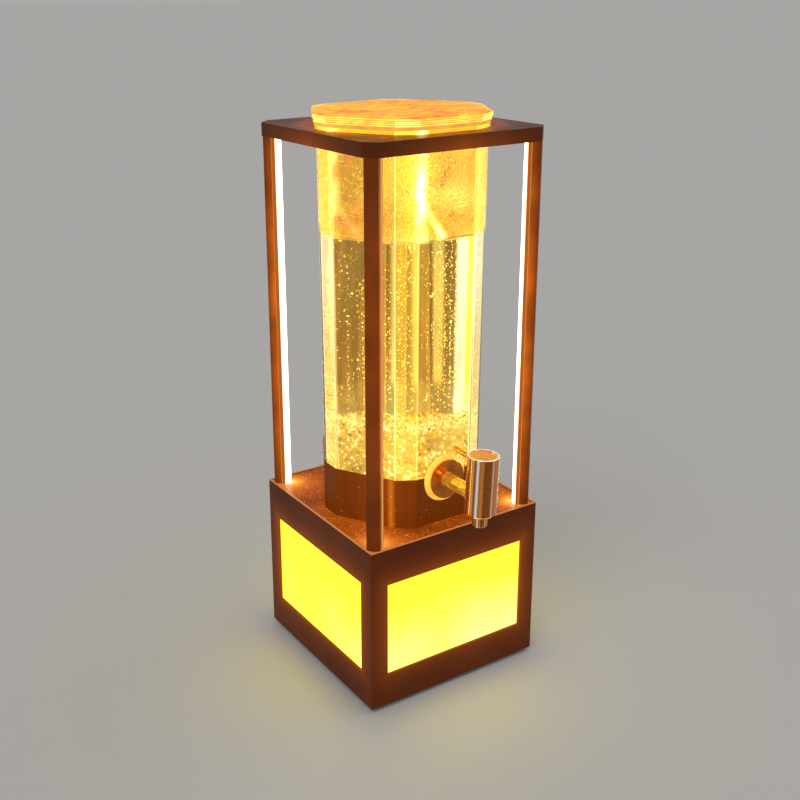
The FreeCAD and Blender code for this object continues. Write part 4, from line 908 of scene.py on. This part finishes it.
@dataclass(frozen=True)
class CircuitBoard(Finish):
    """Solder mask over copper tracks."""

    mask: Colour
    track: Colour

    def mix(self, recipe: Recipe) -> None:
        """Lay the tracks.

        Args:
            recipe: the material in the making.
        """
        black, white = (0, 0, 0), (1, 1, 1)
        grid = recipe.node("TexBrick", {"Vector": recipe.place(), "Scale": 160.0, "Mortar Size": 0.06,
                                        "Color1": black, "Color2": black, "Mortar": white}, "Fac")
        share = grid * recipe.noise(70.0).span(0.45, 0.5, 0.0, 0.8)
        recipe.set({Channel.COLOUR: share.blend(self.mask, self.track),
                    Channel.ROUGH: recipe.mottle(200.0, 0.30, 0.43)})
        recipe.relief((share, 0.4, 0.1 * MM))


@dataclass(frozen=True)
class StudioFloor(Finish):
    """Plain pale floor, very faintly mottled."""

    colour: Colour = (0.655, 0.651, 0.643)

    def mix(self, recipe: Recipe) -> None:
        """Colour the floor.

        Args:
            recipe: the material in the making.
        """
        lighter = tuple(1.02 * part for part in self.colour)
        recipe.set({Channel.COLOUR: recipe.noise(3.0).ramp((0.3, self.colour), (0.7, lighter)),
                    Channel.ROUGH: recipe.mottle(40.0, 0.42, 0.5), Channel.SHINE: 0.3})


# ------------------------------------------------------------------------------------- mesh helpers
def baked(name: str, target: bmesh.types.BMesh) -> bpy.types.Mesh:
    """Turn a mesh in the making, which is used up, into a mesh.

    Args:
        name: the mesh's name.
        target: the mesh in the making.

    Returns:
        The mesh.
    """
    mesh = bpy.data.meshes.new(name)
    target.to_mesh(mesh)
    target.free()
    return mesh


def placed(name: str, data: bpy.types.ID) -> bpy.types.Object:
    """Put a mesh, a light or a camera into the scene.

    Args:
        name: the new object's name.
        data: the mesh, light or camera.

    Returns:
        The object.
    """
    made = bpy.data.objects.new(name, data)
    bpy.context.scene.collection.objects.link(made)
    return made


def on_section(spot: Vector, flat: float, corner: float, height: float) -> Vector:
    """Find the corner of the barrel's section, a hexagon cut by narrow faces, that lies nearest to a place.

    Args:
        spot: the place, in the model's frame.
        flat: distance from the axis to a long face; two of them look along Y.
        corner: distance from the axis to a narrow face; two of them look along X.
        height: the section's height.

    Returns:
        The corner, in the model's frame.
    """
    local = spot - AXIS
    angle = math.degrees(math.atan2(local.y, local.x))
    sector = round(angle / TWO_FACES)
    reach = math.copysign(2 * flat - math.sqrt(3) * corner, angle - TWO_FACES * sector)
    return Matrix.Rotation(math.radians(TWO_FACES * sector), 3, "Z") @ Vector((corner, reach, height)) + AXIS


def raised(sections: Sequence[tuple[float, float, float]], closed: bool = True) -> bmesh.types.BMesh:
    """Raise a skin through sections of the barrel's shape.

    Args:
        sections: each section's flat, corner and height, in order.
        closed: whether the first and the last section are filled.

    Returns:
        The mesh in the making.
    """
    target = bmesh.new()
    verts = bmesh.ops.create_circle(target, cap_ends=False, segments=FACES, radius=1.0)["verts"]
    bmesh.ops.translate(target, verts=verts, vec=AXIS)
    half_turn = Matrix.Rotation(math.radians(FACE_TURN / 2), 3, "Z")
    bmesh.ops.rotate(target, verts=verts, cent=AXIS, matrix=half_turn)
    first = edges = list(dict.fromkeys(edge for vertex in verts for edge in vertex.link_edges))
    for number, section in enumerate(sections):
        if number:
            grown = bmesh.ops.extrude_edge_only(target, edges=edges)["geom"]
            verts = [item for item in grown if isinstance(item, bmesh.types.BMVert)]
            fresh = set(verts)
            edges = [item for item in grown
                     if isinstance(item, bmesh.types.BMEdge) and fresh.issuperset(item.verts)]
        for vertex in verts:
            vertex.co = on_section(vertex.co, *section)
    if closed:
        for loop in (first, edges):
            bmesh.ops.contextual_create(target, geom=loop)
    return target


def bevel(target: bmesh.types.BMesh, picked: Callable[[bmesh.types.BMEdge], bool], offset: float,
          segments: int = 2) -> None:
    """Round some edges.

    Args:
        target: the mesh in the making.
        picked: the test that an edge has to pass.
        offset: how far the rounding reaches from the edge.
        segments: how many flats it has.
    """
    edges = [edge for edge in target.edges if picked(edge)]
    bmesh.ops.bevel(target, geom=edges, offset=offset, offset_type="OFFSET", segments=segments, profile=0.5,
                    affect="EDGES", clamp_overlap=True, material=-1)


def upright(edge: bmesh.types.BMEdge) -> bool:
    """Say whether an edge stands up."""
    way = edge.verts[1].co - edge.verts[0].co
    return way.length > 5 * MM and abs(way.z) > 0.98 * way.length


def settle(name: str, target: bmesh.types.BMesh, body: Body, finish: Finish,
           smooth: bool = True, outward: bool = True) -> bpy.types.Object:
    """Turn a mesh in the making into a piece that rides on a body.

    Args:
        name: the piece's name.
        target: the mesh in the making, which is used up.
        body: the body that carries the piece.
        finish: its finish.
        smooth: whether its faces are shaded smooth, up to sharp edges.
        outward: whether its doubles are merged and its faces turned outwards first.

    Returns:
        The piece.
    """
    if outward:
        bmesh.ops.remove_doubles(target, verts=target.verts, dist=0.001 * MM)
        bmesh.ops.recalc_face_normals(target, faces=target.faces)
    for face in target.faces:
        face.smooth = smooth
    if smooth:
        for edge in target.edges:
            edge.smooth = len(edge.link_faces) == 2 and edge.calc_face_angle(0.0) < math.radians(32)
    mesh = baked(name, target)
    mesh.materials.append(finish.material())
    piece = placed(name, mesh)
    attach(piece, body.value)
    LOG.info("%s: %d faces on %s", name, len(mesh.polygons), body.value)
    return piece


def carve(piece: bpy.types.Object, cutter: bmesh.types.BMesh) -> None:
    """Cut a shape out of a piece, for good.

    Args:
        piece: the piece.
        cutter: the closed shape in the making, which is used up.
    """
    mesh = baked("cutter", cutter)
    tool = placed("cutter", mesh)
    cut = piece.modifiers.new("cut", "BOOLEAN")
    cut.operation, cut.object, cut.solver = "DIFFERENCE", tool, "EXACT"
    bpy.context.view_layer.update()
    done = bpy.data.meshes.new_from_object(piece.evaluated_get(bpy.context.evaluated_depsgraph_get()))
    piece.modifiers.remove(cut)
    old, piece.data = piece.data, done
    done.name = piece.name
    bpy.data.meshes.remove(old)
    bpy.data.objects.remove(tool)
    bpy.data.meshes.remove(mesh)


def dress(nodes: dict, finishes: dict[Finish, Sequence[str]]) -> None:
    """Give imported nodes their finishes.

    Args:
        nodes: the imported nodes' objects by name.
        finishes: the names of the nodes that get each finish.
    """
    for finish, names in finishes.items():
        material = finish.material()
        for name in names:
            slots = nodes[name].data.materials
            slots.clear()
            slots.append(material)
            LOG.info("%s: %s", name, material.name)


class Scatter:
    """Many small copies of one low-sided lump in one mesh, each with its own shade."""

    BATCH = 120

    def __init__(self, seed: int) -> None:
        """Start an empty scatter with its own fixed chance."""
        self.chance = random.Random(seed)
        self.whole = bmesh.new()
        self.begin()

    def begin(self) -> None:
        """Start the next small batch, because operators are quick only on small meshes."""
        self.batch = bmesh.new()
        self.shade = self.batch.faces.layers.float.new("shade")
        self.count = 0

    def pour(self) -> None:
        """Add the batch to the whole."""
        mesh = baked("batch", self.batch)
        self.whole.from_mesh(mesh)
        bpy.data.meshes.remove(mesh)
        self.begin()

    def drop(self, spot: Vector, radius: float, stretch: Sequence[float], rough: float = 0.0,
             subdivisions: int = 1) -> None:
        """Put one lump down.

        Args:
            spot: its middle, measured from the tower's axis.
            radius: its size before stretching.
            stretch: its proportions, before it is turned if it is rough.
            rough: how far its corners are pushed in or out, as a share of the radius.
            subdivisions: how finely it is divided.
        """
        turn = Matrix.Identity(4)
        if rough:
            turn = (Matrix.Rotation(self.chance.uniform(0, 6.28), 4, "Z")
                    @ Matrix.Rotation(self.chance.uniform(0, 6.28), 4, "X"))
        centre = spot + AXIS
        form = Matrix.Translation(centre) @ turn @ Matrix.Diagonal((*stretch, 1.0))
        made = bmesh.ops.create_icosphere(self.batch, subdivisions=subdivisions, radius=radius, matrix=form)
        own = self.chance.random()
        for vertex in made["verts"]:
            if rough:
                vertex.co = centre + (vertex.co - centre) * (1 + self.chance.uniform(-rough, rough))
            for face in vertex.link_faces:
                face[self.shade] = own
        self.count += 1
        if self.count == self.BATCH:
            self.pour()

    def settle(self, name: str, body: Body, finish: Finish, smooth: bool = True) -> bpy.types.Object:
        """Turn the scatter into a piece.

        Args:
            name: the piece's name.
            body: the body that carries it.
            finish: its finish.
            smooth: whether its faces are shaded smooth.

        Returns:
            The piece.
        """
        self.pour()
        self.batch.free()
        return settle(name, self.whole, body, finish, smooth=smooth, outward=False)


# --------------------------------------------------------------------------------------- the vessel
@dataclass
class Vessel:
    """The clear barrel, its cup, and what is in it.

    Insets are measured from the barrel's outer face. The creep is the drink's climb at the wall, and
    drops stand on the dry wall between its foot and its head. Shares are from 0 to 1.
    """

    foot_flat: float = 61.0 * MM
    foot_corner: float = 65.6 * MM
    draft: float = 2.0 * MM
    wall: float = 3.2 * MM
    floor: float = 4.0 * MM
    foot: float = 140.2 * MM
    tray: float = 440.0 * MM
    rim: float = 442.8 * MM
    rim_flat: float = 64.0 * MM
    rim_corner: float = 68.6 * MM
    edge: float = 0.7 * MM
    play: float = 0.12 * MM
    level: float = 362.0 * MM
    creep: float = 0.9 * MM
    creep_reach: float = 1.6 * MM
    bed: float = 222.0 * MM
    bed_foot: float = 1.5 * MM
    bed_shoulder: float = 12.0 * MM
    bed_crown: float = 8.0 * MM
    bed_inset: float = 9.7 * MM
    bed_slope: float = 4.5 * MM
    bed_edge: float = 4.0 * MM
    grain_pitch: float = 3.3 * MM
    grain_reach: float = 66.0 * MM
    grain_gap: float = 1.9 * MM
    crust: float = 6.5 * MM
    thin_side: float = 4.5 * MM
    thin_top: float = 9.0 * MM
    tap_height: float = 174.0 * MM
    shank_hole: float = 6.0 * MM
    shank_start: float = 50.0 * MM
    fitting_radius: float = 12.2 * MM
    fitting_tail: float = 48.2 * MM
    bed_hole: float = 15.0 * MM
    grain_hole: float = 14.5 * MM
    grain_front: float = 44.0 * MM
    cut_end: float = 70.0 * MM
    strings: int = 20
    wall_beads: int = 1700
    bead_row: float = 5.2 * MM
    in_rows: float = 0.62
    small: float = 0.93
    drops: int = 1500
    dry_foot: float = 4.0 * MM
    dry_head: float = 14.0 * MM

    @property
    def bottom(self) -> float:
        """Return the height of the barrel's floor."""
        return self.foot + self.floor

    def offset(self, height: float) -> float:
        """Return how far the drafted wall stands out at a height."""
        return self.draft * (height - self.foot) / (self.tray - self.foot)

    def section(self, height: float, inset: float = 0.0) -> tuple[float, float, float]:
        """Return the wall's section at a height, inset from its outer face."""
        out = self.offset(height) - inset
        return self.foot_flat + out, self.foot_corner + out, height

    def on_wall(self, face: int, height: float, side: float, gap: float) -> Vector:
        """Find a place by the barrel's inner face.

        Args:
            face: the number of one of its sides; odd ones are long.
            height: the place's height.
            side: its distance from the side's middle, along the side.
            gap: its distance from the inner face.

        Returns:
            The place, measured from the axis.
        """
        angle = math.radians(FACE_TURN * face)
        away = (self.foot_flat if face % 2 else self.foot_corner) + self.offset(height) - self.wall - gap
        return Vector((away * math.cos(angle) - side * math.sin(angle),
                       away * math.sin(angle) + side * math.cos(angle), height))

    def depth(self, spot: Vector) -> float:
        """Measure how far inside the barrel's inner face a place lies.

        Args:
            spot: the place, measured from the axis.

        Returns:
            The distance to the nearest side.
        """
        out = self.offset(spot.z) - self.wall
        nearest = math.inf
        for number in range(FACES):
            angle = math.radians(FACE_TURN * number)
            face = (self.foot_flat if number % 2 else self.foot_corner) + out
            nearest = min(nearest, face - spot.x * math.cos(angle) - spot.y * math.sin(angle))
        return nearest

    def cutter(self, radius: float, start: float, end: float) -> bmesh.types.BMesh:
        """Make a rod along the tap's shank.

        Args:
            radius: the rod's radius.
            start: the distance in front of the axis at which it starts.
            end: the distance at which it ends.

        Returns:
            The mesh in the making.
        """
        rod = bmesh.new()
        middle = AXIS + Vector((0, -(start + end) / 2, self.tap_height))
        form = Matrix.Translation(middle) @ Matrix.Rotation(math.radians(90), 4, "X")
        bmesh.ops.create_cone(rod, cap_ends=True, segments=48, radius1=radius, radius2=radius,
                              depth=end - start, matrix=form)
        bmesh.ops.recalc_face_normals(rod, faces=rod.faces)
        return rod

    def build_barrel(self) -> None:
        """Model the barrel as one clear piece with softened edges."""
        rim = [(self.rim_flat, self.rim_corner, height) for height in (self.tray, self.rim)]
        target = raised([self.section(self.foot), self.section(self.tray), *rim,
                         self.section(self.rim, self.wall), self.section(self.bottom, self.wall)])
        bevel(target, upright, self.edge)
        piece = settle("barrel_glass", target, Body.TOWER, ClearBarrel("clear_barrel", level=self.level))
        carve(piece, self.cutter(self.shank_hole, self.shank_start, self.cut_end))
        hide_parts("barrel")

    def build_drink(self) -> None:
        """Model the drink as a body that fills the barrel to its level, clear of the tap's fitting."""
        inset = self.wall + self.play
        target = raised([self.section(self.bottom + self.play, inset),
                         self.section(self.level - 0.6 * MM, inset), self.section(self.level, inset),
                         self.section(self.level - self.creep, inset + self.creep_reach)])
        bevel(target, upright, self.edge)
        piece = settle("drink", target, Body.TOWER, Beverage("pale_beer"))
        carve(piece, self.cutter(self.fitting_radius, self.fitting_tail, self.cut_end))

    def crest(self, spot: Vector) -> float:
        """Return the height of the heap's top, which falls away behind the tap, over a place."""
        back = spot.x * 0.53 + spot.y * 0.85 + 60 * MM
        return (self.bed - 0.21 * back + 2.2 * MM * math.sin(spot.x * 120)
                + 1.8 * MM * math.sin(spot.y * 170 + 1))

    def build_bed(self) -> None:
        """Fill the heap's middle, behind the grains that show, with one rounded body."""
        foot = self.bottom + self.bed_foot
        target = raised([self.section(foot, self.bed_inset),
                         self.section(self.bed - self.bed_shoulder, self.bed_inset),
                         self.section(self.bed - self.bed_crown, self.bed_inset + self.bed_slope)])
        for vertex in target.verts:
            if vertex.co.z > foot + 1.0 * MM:
                vertex.co.z += self.crest(vertex.co - AXIS) - self.bed
        bevel(target, upright, self.bed_edge, segments=3)
        gold = Sparkle("packed_grain", ((0.0, (0.96, 0.74, 0.18)), (1.0, (1.0, 0.87, 0.36))), power=0.48,
                       clear=0.0, rough=0.4)
        piece = settle("grain_bed", target, Body.TOWER, gold)
        carve(piece, self.cutter(self.bed_hole, self.grain_front, self.cut_end))

    def holds_grain(self, spot: Vector, chance: random.Random) -> bool:
        """Say whether a grain lies at a place: in the heap, near its skin and clear of the tap's fitting.

        Args:
            spot: the place, measured from the axis.
            chance: what thins out the deeper grains.

        Returns:
            Whether a grain lies there.
        """
        depth, under = self.depth(spot), self.crest(spot) - spot.z
        if depth < self.grain_gap or under < 0 or spot.z < self.bottom + self.grain_gap:
            return False
        if depth > self.crust and under > self.crust:
            return False
        if depth > self.thin_side and under > self.thin_top and chance.random() < 0.5:
            return False
        off_shank = math.hypot(spot.x, spot.z - self.tap_height)
        return spot.y >= -self.grain_front or off_shank >= self.grain_hole

    def build_grains(self) -> None:
        """Heap clear golden grains on the barrel's floor, several deep at the walls and the top."""
        heap = Scatter(41)
        chance = heap.chance
        pitch = self.grain_pitch
        count = int(self.grain_reach / pitch)
        for layer in range(int((self.bed - self.foot - self.floor) / pitch) + 2):
            for row in range(-count, count + 1):
                for column in range(-count, count + 1):
                    jitter = [chance.uniform(-0.5, 0.5) * pitch for _ in range(3)]
                    spot = Vector(((column + 0.5 * (row % 2)) * pitch + jitter[0], row * pitch + jitter[1],
                                   self.bottom + 2.0 * MM + layer * pitch + jitter[2]))
                    if self.holds_grain(spot, chance):
                        stretch = [chance.uniform(0.55, 1.35) for _ in range(3)]
                        heap.drop(spot, chance.uniform(0.80, 1.55) * MM, stretch, rough=0.25)
        stops = ((0.0, (0.50, 0.31, 0.05)), (0.25, (0.94, 0.76, 0.24)), (0.60, (1.0, 0.88, 0.42)),
                 (0.90, (1.0, 0.95, 0.70)), (1.0, (1.0, 1.0, 0.90)))
        gold = Sparkle("golden_grain", stops, power=0.55, clear=0.25, rough=0.06)
        heap.settle("grains", Body.TOWER, gold, smooth=False)

    def add_strings(self, fizz: Scatter) -> None:
        """Let strings of bubbles rise through the drink.

        Args:
            fizz: the scatter that takes the bubbles.
        """
        chance = fizz.chance
        for _ in range(self.strings):
            angle, reach = chance.uniform(0, 6.283), chance.uniform(0, 50) * MM
            height, stop = self.bed + chance.uniform(0, 20) * MM, self.level - chance.uniform(3, 60) * MM
            while height < stop:
                spot = Vector((reach * math.cos(angle) + chance.gauss(0, 0.5) * MM,
                               reach * math.sin(angle) + chance.gauss(0, 0.5) * MM, height))
                if self.depth(spot) > 2 * MM:
                    fizz.drop(spot, chance.uniform(0.30, 0.60) * MM, (1, 1, 1.35))
                height += chance.uniform(2.5, 9.0) * MM

    def add_wall_bubbles(self, fizz: Scatter) -> None:
        """Cling bubbles to the walls below the drink's level, most of them on the tap's side and in rows.

        Args:
            fizz: the scatter that takes the bubbles.
        """
        chance = fizz.chance
        for _ in range(self.wall_beads):
            face = chance.choice((1, 7, 8, 8, 9, 9, 9, 9, 9, 10, 11, 3, 5))
            height = self.bed + (self.level - self.bed) * chance.uniform(0, 1) ** 0.9
            half = (24.5 if face % 2 else 6.5) * MM
            side = chance.triangular(-1, 1, 0.15) * half if face == 9 else chance.uniform(-half, half)
            if face % 2 and chance.random() < self.in_rows:
                side = round(side / self.bead_row) * self.bead_row + chance.gauss(0, 0.45) * MM
            size = chance.uniform(0.22, 0.52) if chance.random() < self.small else chance.uniform(0.6, 0.95)
            spot = self.on_wall(face, height, side, self.play + 0.75 * MM)
            fizz.drop(spot, size * MM, (1, 1, chance.uniform(1.0, 1.35)))

    def build_bubbles(self) -> None:
        """Scatter the fizz through the drink and on the walls."""
        fizz = Scatter(7)
        self.add_strings(fizz)
        self.add_wall_bubbles(fizz)
        stops = ((0.0, (1.0, 0.78, 0.26)), (0.5, (1.0, 0.90, 0.52)), (1.0, (1.0, 0.98, 0.88)))
        fizz.settle("fizz", Body.TOWER, Sparkle("fizz", stops, power=1.7, clear=0.25, rough=0.05))

    def build_waterline(self) -> None:
        """Ring the drink's level with a thin bright line of froth."""
        inset = self.wall + 0.25 * MM
        path = ((0.25, 0.0), (0.95, 0.0), (0.95, 0.9), (0.25, 0.9), (0.25, 0.0))
        rings = [self.section(self.level + rise * MM, inset + deep * MM) for rise, deep in path]
        froth = Moulding("froth", (1.0, 0.80, 0.36), (1.0, 0.95, 0.70), 0.35, grain=900.0, depth=0.5 * MM)
        settle("waterline", raised(rings, closed=False), Body.TOWER, froth)

    def build_drops(self) -> None:
        """Bead the barrel's inner face with drops above the drink."""
        beads = Scatter(19)
        chance = beads.chance
        for _ in range(self.drops):
            face = chance.randrange(FACES)
            height = self.level + self.dry_foot + (self.tray - self.dry_head - self.level) * chance.random()
            half = (24 if face % 2 else 6) * MM
            spot = self.on_wall(face, height, chance.uniform(-half, half), 0.05 * MM)
            beads.drop(spot, chance.uniform(0.25, 0.62) * MM, (0.85, 0.85, chance.uniform(1.0, 1.5)))
        stops = ((0.0, (1.0, 0.62, 0.24)), (1.0, (1.0, 0.90, 0.66)))
        water = Sparkle("clear_drop", stops, power=0.30, clear=0.8, rough=0.02, ior=1.33)
        beads.settle("drops_inside", Body.TOWER, water)

    def build(self, nodes: dict) -> None:
        """Build and dress the whole vessel.

        Args:
            nodes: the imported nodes' objects by name.
        """
        dress(nodes, {
            SocketGloss("socket_gloss"): ["barrel_socket"],
            Moulding("pad_silicone", (0.30, 0.24, 0.15), (0.42, 0.34, 0.22), 0.55): ["barrel_pad"]})
        self.build_barrel()
        self.build_drink()
        self.build_bed()
        self.build_grains()
        self.build_bubbles()
        self.build_waterline()
        self.build_drops()


# ------------------------------------------------------------------------------------------ the lid
@dataclass
class Lid:
    """The lid's amber plates, seal and plug, with the drops that stand on it."""

    top: float = 451.1 * MM
    flat: float = 65.0 * MM
    drops: int = 150

    def build(self, nodes: dict) -> None:
        """Build and dress the lid.

        Args:
            nodes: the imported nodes' objects by name.
        """
        dress(nodes, {
            AmberSheet("amber_sheet"): ["lid_plate", "lid_base"],
            AmberSheet("amber_plug", clear=0.9, ior=1.49): ["lid_plug"],
            Translucent("seal_silicone", (0.98, 0.56, 0.12), (1.0, 0.50, 0.07), 0.50): ["lid_seal"]})
        beads = Scatter(3)
        chance = beads.chance
        for _ in range(self.drops):
            angle = chance.uniform(0, 6.283)
            reach = chance.uniform(0.35, 0.985) * self.flat
            radius = chance.uniform(0.5, 1.4) * MM
            spot = Vector((reach * math.cos(angle), reach * math.sin(angle), self.top - 0.02 * MM))
            beads.drop(spot, radius, (1.0, chance.uniform(0.8, 1.2), 0.30), subdivisions=2)
        stops = ((0.0, (1.0, 0.66, 0.30)), (1.0, (1.0, 0.88, 0.66)))
        water = Sparkle("lid_drop", stops, power=0.10, clear=0.9, rough=0.02, ior=1.33)
        beads.settle("drops_on_lid", Body.LID, water)


# ----------------------------------------------------------------------------------- frame and base
@dataclass
class Frame:
    """The base box, its deck and windows, the four light posts and the top tray."""

    def build(self, nodes: dict) -> None:
        """Dress the frame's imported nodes.

        Args:
            nodes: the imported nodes' objects by name.
        """
        dress(nodes, {
            LanternPaint("base_paint", (0.095, 0.0170, 0.0025), (0.155, 0.0310, 0.0055)): ["base_shell"],
            PostPaint("post_paint"): ["post_" + corner for corner in CORNERS],
            TrayPaint("tray_paint", (0.105, 0.0210, 0.0035), (0.165, 0.0370, 0.0070)):
                ["top_tray", "top_liner"],
            HammeredPaint("deck_paint"): ["deck_plate"],
            LitPanel("lit_panel"): ["window_" + side for side in SIDES],
            LitBar("lit_bar"): ["light_bar_" + corner for corner in CORNERS],
            CircuitBoard("strip_board", (0.80, 0.79, 0.74), (0.62, 0.55, 0.40)):
                ["led_strip_" + corner for corner in CORNERS],
            Moulding("plug_black", (0.012, 0.011, 0.010), (0.022, 0.020, 0.018), 0.5): ["post_end_plugs"]})


@dataclass
class PowerKit:
    """What runs the lights, with the cover and the feet under it, and all of the tower's screws."""

    def build(self, nodes: dict) -> None:
        """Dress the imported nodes.

        Args:
            nodes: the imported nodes' objects by name.
        """
        dress(nodes, {
            Moulding("cover_black", (0.014, 0.013, 0.012), (0.030, 0.027, 0.024), 0.55, grain=900.0,
                     depth=0.4 * MM): ["bottom_cover", "battery_holder"],
            Moulding("foot_rubber", (0.010, 0.010, 0.010), (0.022, 0.021, 0.020), 0.72, grain=1800.0):
                ["rubber_feet"],
            Moulding("cell_wrap", (0.03, 0.09, 0.24), (0.05, 0.13, 0.32), 0.28, grain=90.0, coat=0.4):
                ["battery_cells"],
            CircuitBoard("board_green", (0.012, 0.085, 0.035), (0.45, 0.33, 0.10)): ["control_board"],
            CircuitBoard("board_white", (0.80, 0.80, 0.77), (0.66, 0.62, 0.52)): ["light_board"],
            Translucent("lamp_phosphor", (1.0, 0.74, 0.14), (1.0, 0.72, 0.16), 3.0): ["light_board_lamps"],
            Moulding("standoff_nylon", (0.66, 0.65, 0.62), (0.78, 0.77, 0.74), 0.45):
                ["light_board_standoffs"],
            Moulding("button_gloss", (0.010, 0.010, 0.010), (0.018, 0.018, 0.018), 0.20, grain=2000.0,
                     depth=0.1 * MM, coat=0.5): ["button_bezel", "power_button", "button_switch"],
            Metal("inlet_steel", (0.46, 0.46, 0.47), (0.62, 0.62, 0.62), 0.24): ["charging_port"],
            Metal("screw_steel", (0.42, 0.42, 0.43), (0.64, 0.64, 0.64), 0.26, stretch=(1, 1, 1)):
                ["cover_screws", "post_foot_screws", "post_head_screws", "tray_screws", "socket_screws",
                 "tap_cap_screw"]})


# ------------------------------------------------------------------------------------------ the tap
@dataclass
class Tap:
    """The polished tap with its valve, fittings and lever."""

    def build(self, nodes: dict) -> None:
        """Dress the tap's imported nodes.

        Args:
            nodes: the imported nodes' objects by name.
        """
        dress(nodes, {
            StreakedChrome("tap_chrome"): ["tap_body", "tap_cap", "tap_nozzle"],
            # the rosette's copper-brown, the nut's warm tone and the lever's gold are painted reflections of
            # the lit drink on chrome
            Metal("rosette_chrome", (0.34, 0.075, 0.012), (0.80, 0.25, 0.04), 0.06, brush=0.0,
                  stretch=(1, 1, 1)): ["tap_rosette"],
            Metal("nut_chrome", (0.56, 0.30, 0.14), (0.90, 0.62, 0.38), 0.08, brush=0.2): ["tap_lock_nut"],
            Metal("lever_chrome", (0.66, 0.34, 0.04), (1.0, 0.66, 0.12), 0.09, stretch=(1, 40, 1)):
                ["tap_lever"],
            CopperDisc("copper_disc"): ["tap_top_disc"],
            Translucent("washer_silicone", (1.0, 0.66, 0.12), (1.0, 0.58, 0.04), 0.60):
                ["tap_washer", "tap_inner_washer", "tap_stem_seal"],
            Moulding("disc_ceramic", (0.80, 0.79, 0.75), (0.88, 0.87, 0.84), 0.18, grain=2600.0,
                     depth=0.1 * MM): ["tap_fixed_disc", "tap_turning_disc"],
            Metal("stem_brass", (0.60, 0.40, 0.13), (0.82, 0.60, 0.24), 0.20): ["tap_stem", "tap_gland"]})


# ------------------------------------------------------------------------------------------- studio
@dataclass
class Studio:
    """Camera, soft light and a plain pale floor. Angles are in degrees."""

    azimuth: float = 32.164
    elevation: float = 17.763
    roll: float = -0.62
    spot: tuple[float, float, float] = (-0.47986, -0.67750, 0.53963)
    lens: float = 50.157
    sensor: float = 36.0
    shift: tuple[float, float] = (0.05618, -0.07349)
    air: Colour = (0.402, 0.396, 0.388)
    floor_radius: float = 40.0

    def build_camera(self) -> None:
        """Place the camera."""
        data = bpy.data.cameras.new("view")
        data.sensor_width = self.sensor
        data.sensor_fit = "HORIZONTAL"
        data.lens = self.lens
        data.shift_x, data.shift_y = self.shift
        data.clip_start, data.clip_end = 0.02, 200.0
        camera = placed("view", data)
        azimuth, elevation = math.radians(self.azimuth), math.radians(self.elevation)
        back = Vector((-math.sin(azimuth) * math.cos(elevation), -math.cos(azimuth) * math.cos(elevation),
                       math.sin(elevation)))
        right = (-back).cross(Vector((0, 0, 1))).normalized()
        up = right.cross(-back)
        turn = Matrix((right, up, back)).transposed().to_4x4()
        roll = Matrix.Rotation(math.radians(self.roll), 4, "Z")
        camera.matrix_world = Matrix.Translation(Vector(self.spot)) @ turn @ roll
        bpy.context.scene.camera = camera

    def build_light(self, name: str, spot: Sequence[float], spread: float, power: float,
                    colour: Colour) -> None:
        """Shine one far, soft light on the tower.

        Args:
            name: the light's name.
            spot: the side that it comes from.
            spread: how soft it is, in degrees.
            power: its strength.
            colour: its colour.
        """
        data = bpy.data.lights.new(name, "SUN")
        data.angle, data.energy, data.color = math.radians(spread), power, colour
        light = placed(name, data)
        light.location = spot
        light.rotation_mode = "QUATERNION"
        light.rotation_quaternion = Vector(spot).to_track_quat("Z", "Y")

    def build_floor(self) -> None:
        """Lay the floor, whose far edge is out of sight."""
        floor = bmesh.new()
        bmesh.ops.create_circle(floor, cap_ends=True, segments=64, radius=self.floor_radius)
        mesh = baked("floor", floor)
        mesh.materials.append(StudioFloor("studio_floor").material())
        piece = placed("floor", mesh)

    def build(self) -> None:
        """Build the camera, the lights and the floor."""
        self.build_camera()
        self.build_light("key", (-1.5, -0.9, 2.2), 35.0, 0.55, (1.0, 0.98, 0.95))
        self.build_light("fill", (1.6, -1.0, 1.6), 60.0, 0.25, (0.95, 0.97, 1.0))
        world = bpy.data.worlds.new("studio")
        world.use_nodes = True
        backdrop = world.node_tree.nodes["Background"]
        backdrop.inputs["Color"].default_value = (*self.air, 1.0)
        backdrop.inputs["Strength"].default_value = 1.0
        bpy.context.scene.world = world
        self.build_floor()
        bpy.context.scene.view_settings.view_transform = "Standard"
        LOG.info("studio ready")


def main() -> None:
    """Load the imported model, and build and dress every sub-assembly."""
    logging.basicConfig(level=logging.INFO, format="%(message)s")
    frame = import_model()
    nodes = frame["nodes"]
    Studio().build()
    Frame().build(nodes)
    PowerKit().build(nodes)
    Vessel().build(nodes)
    Lid().build(nodes)
    Tap().build(nodes)


if __name__ == "__main__":
    main()
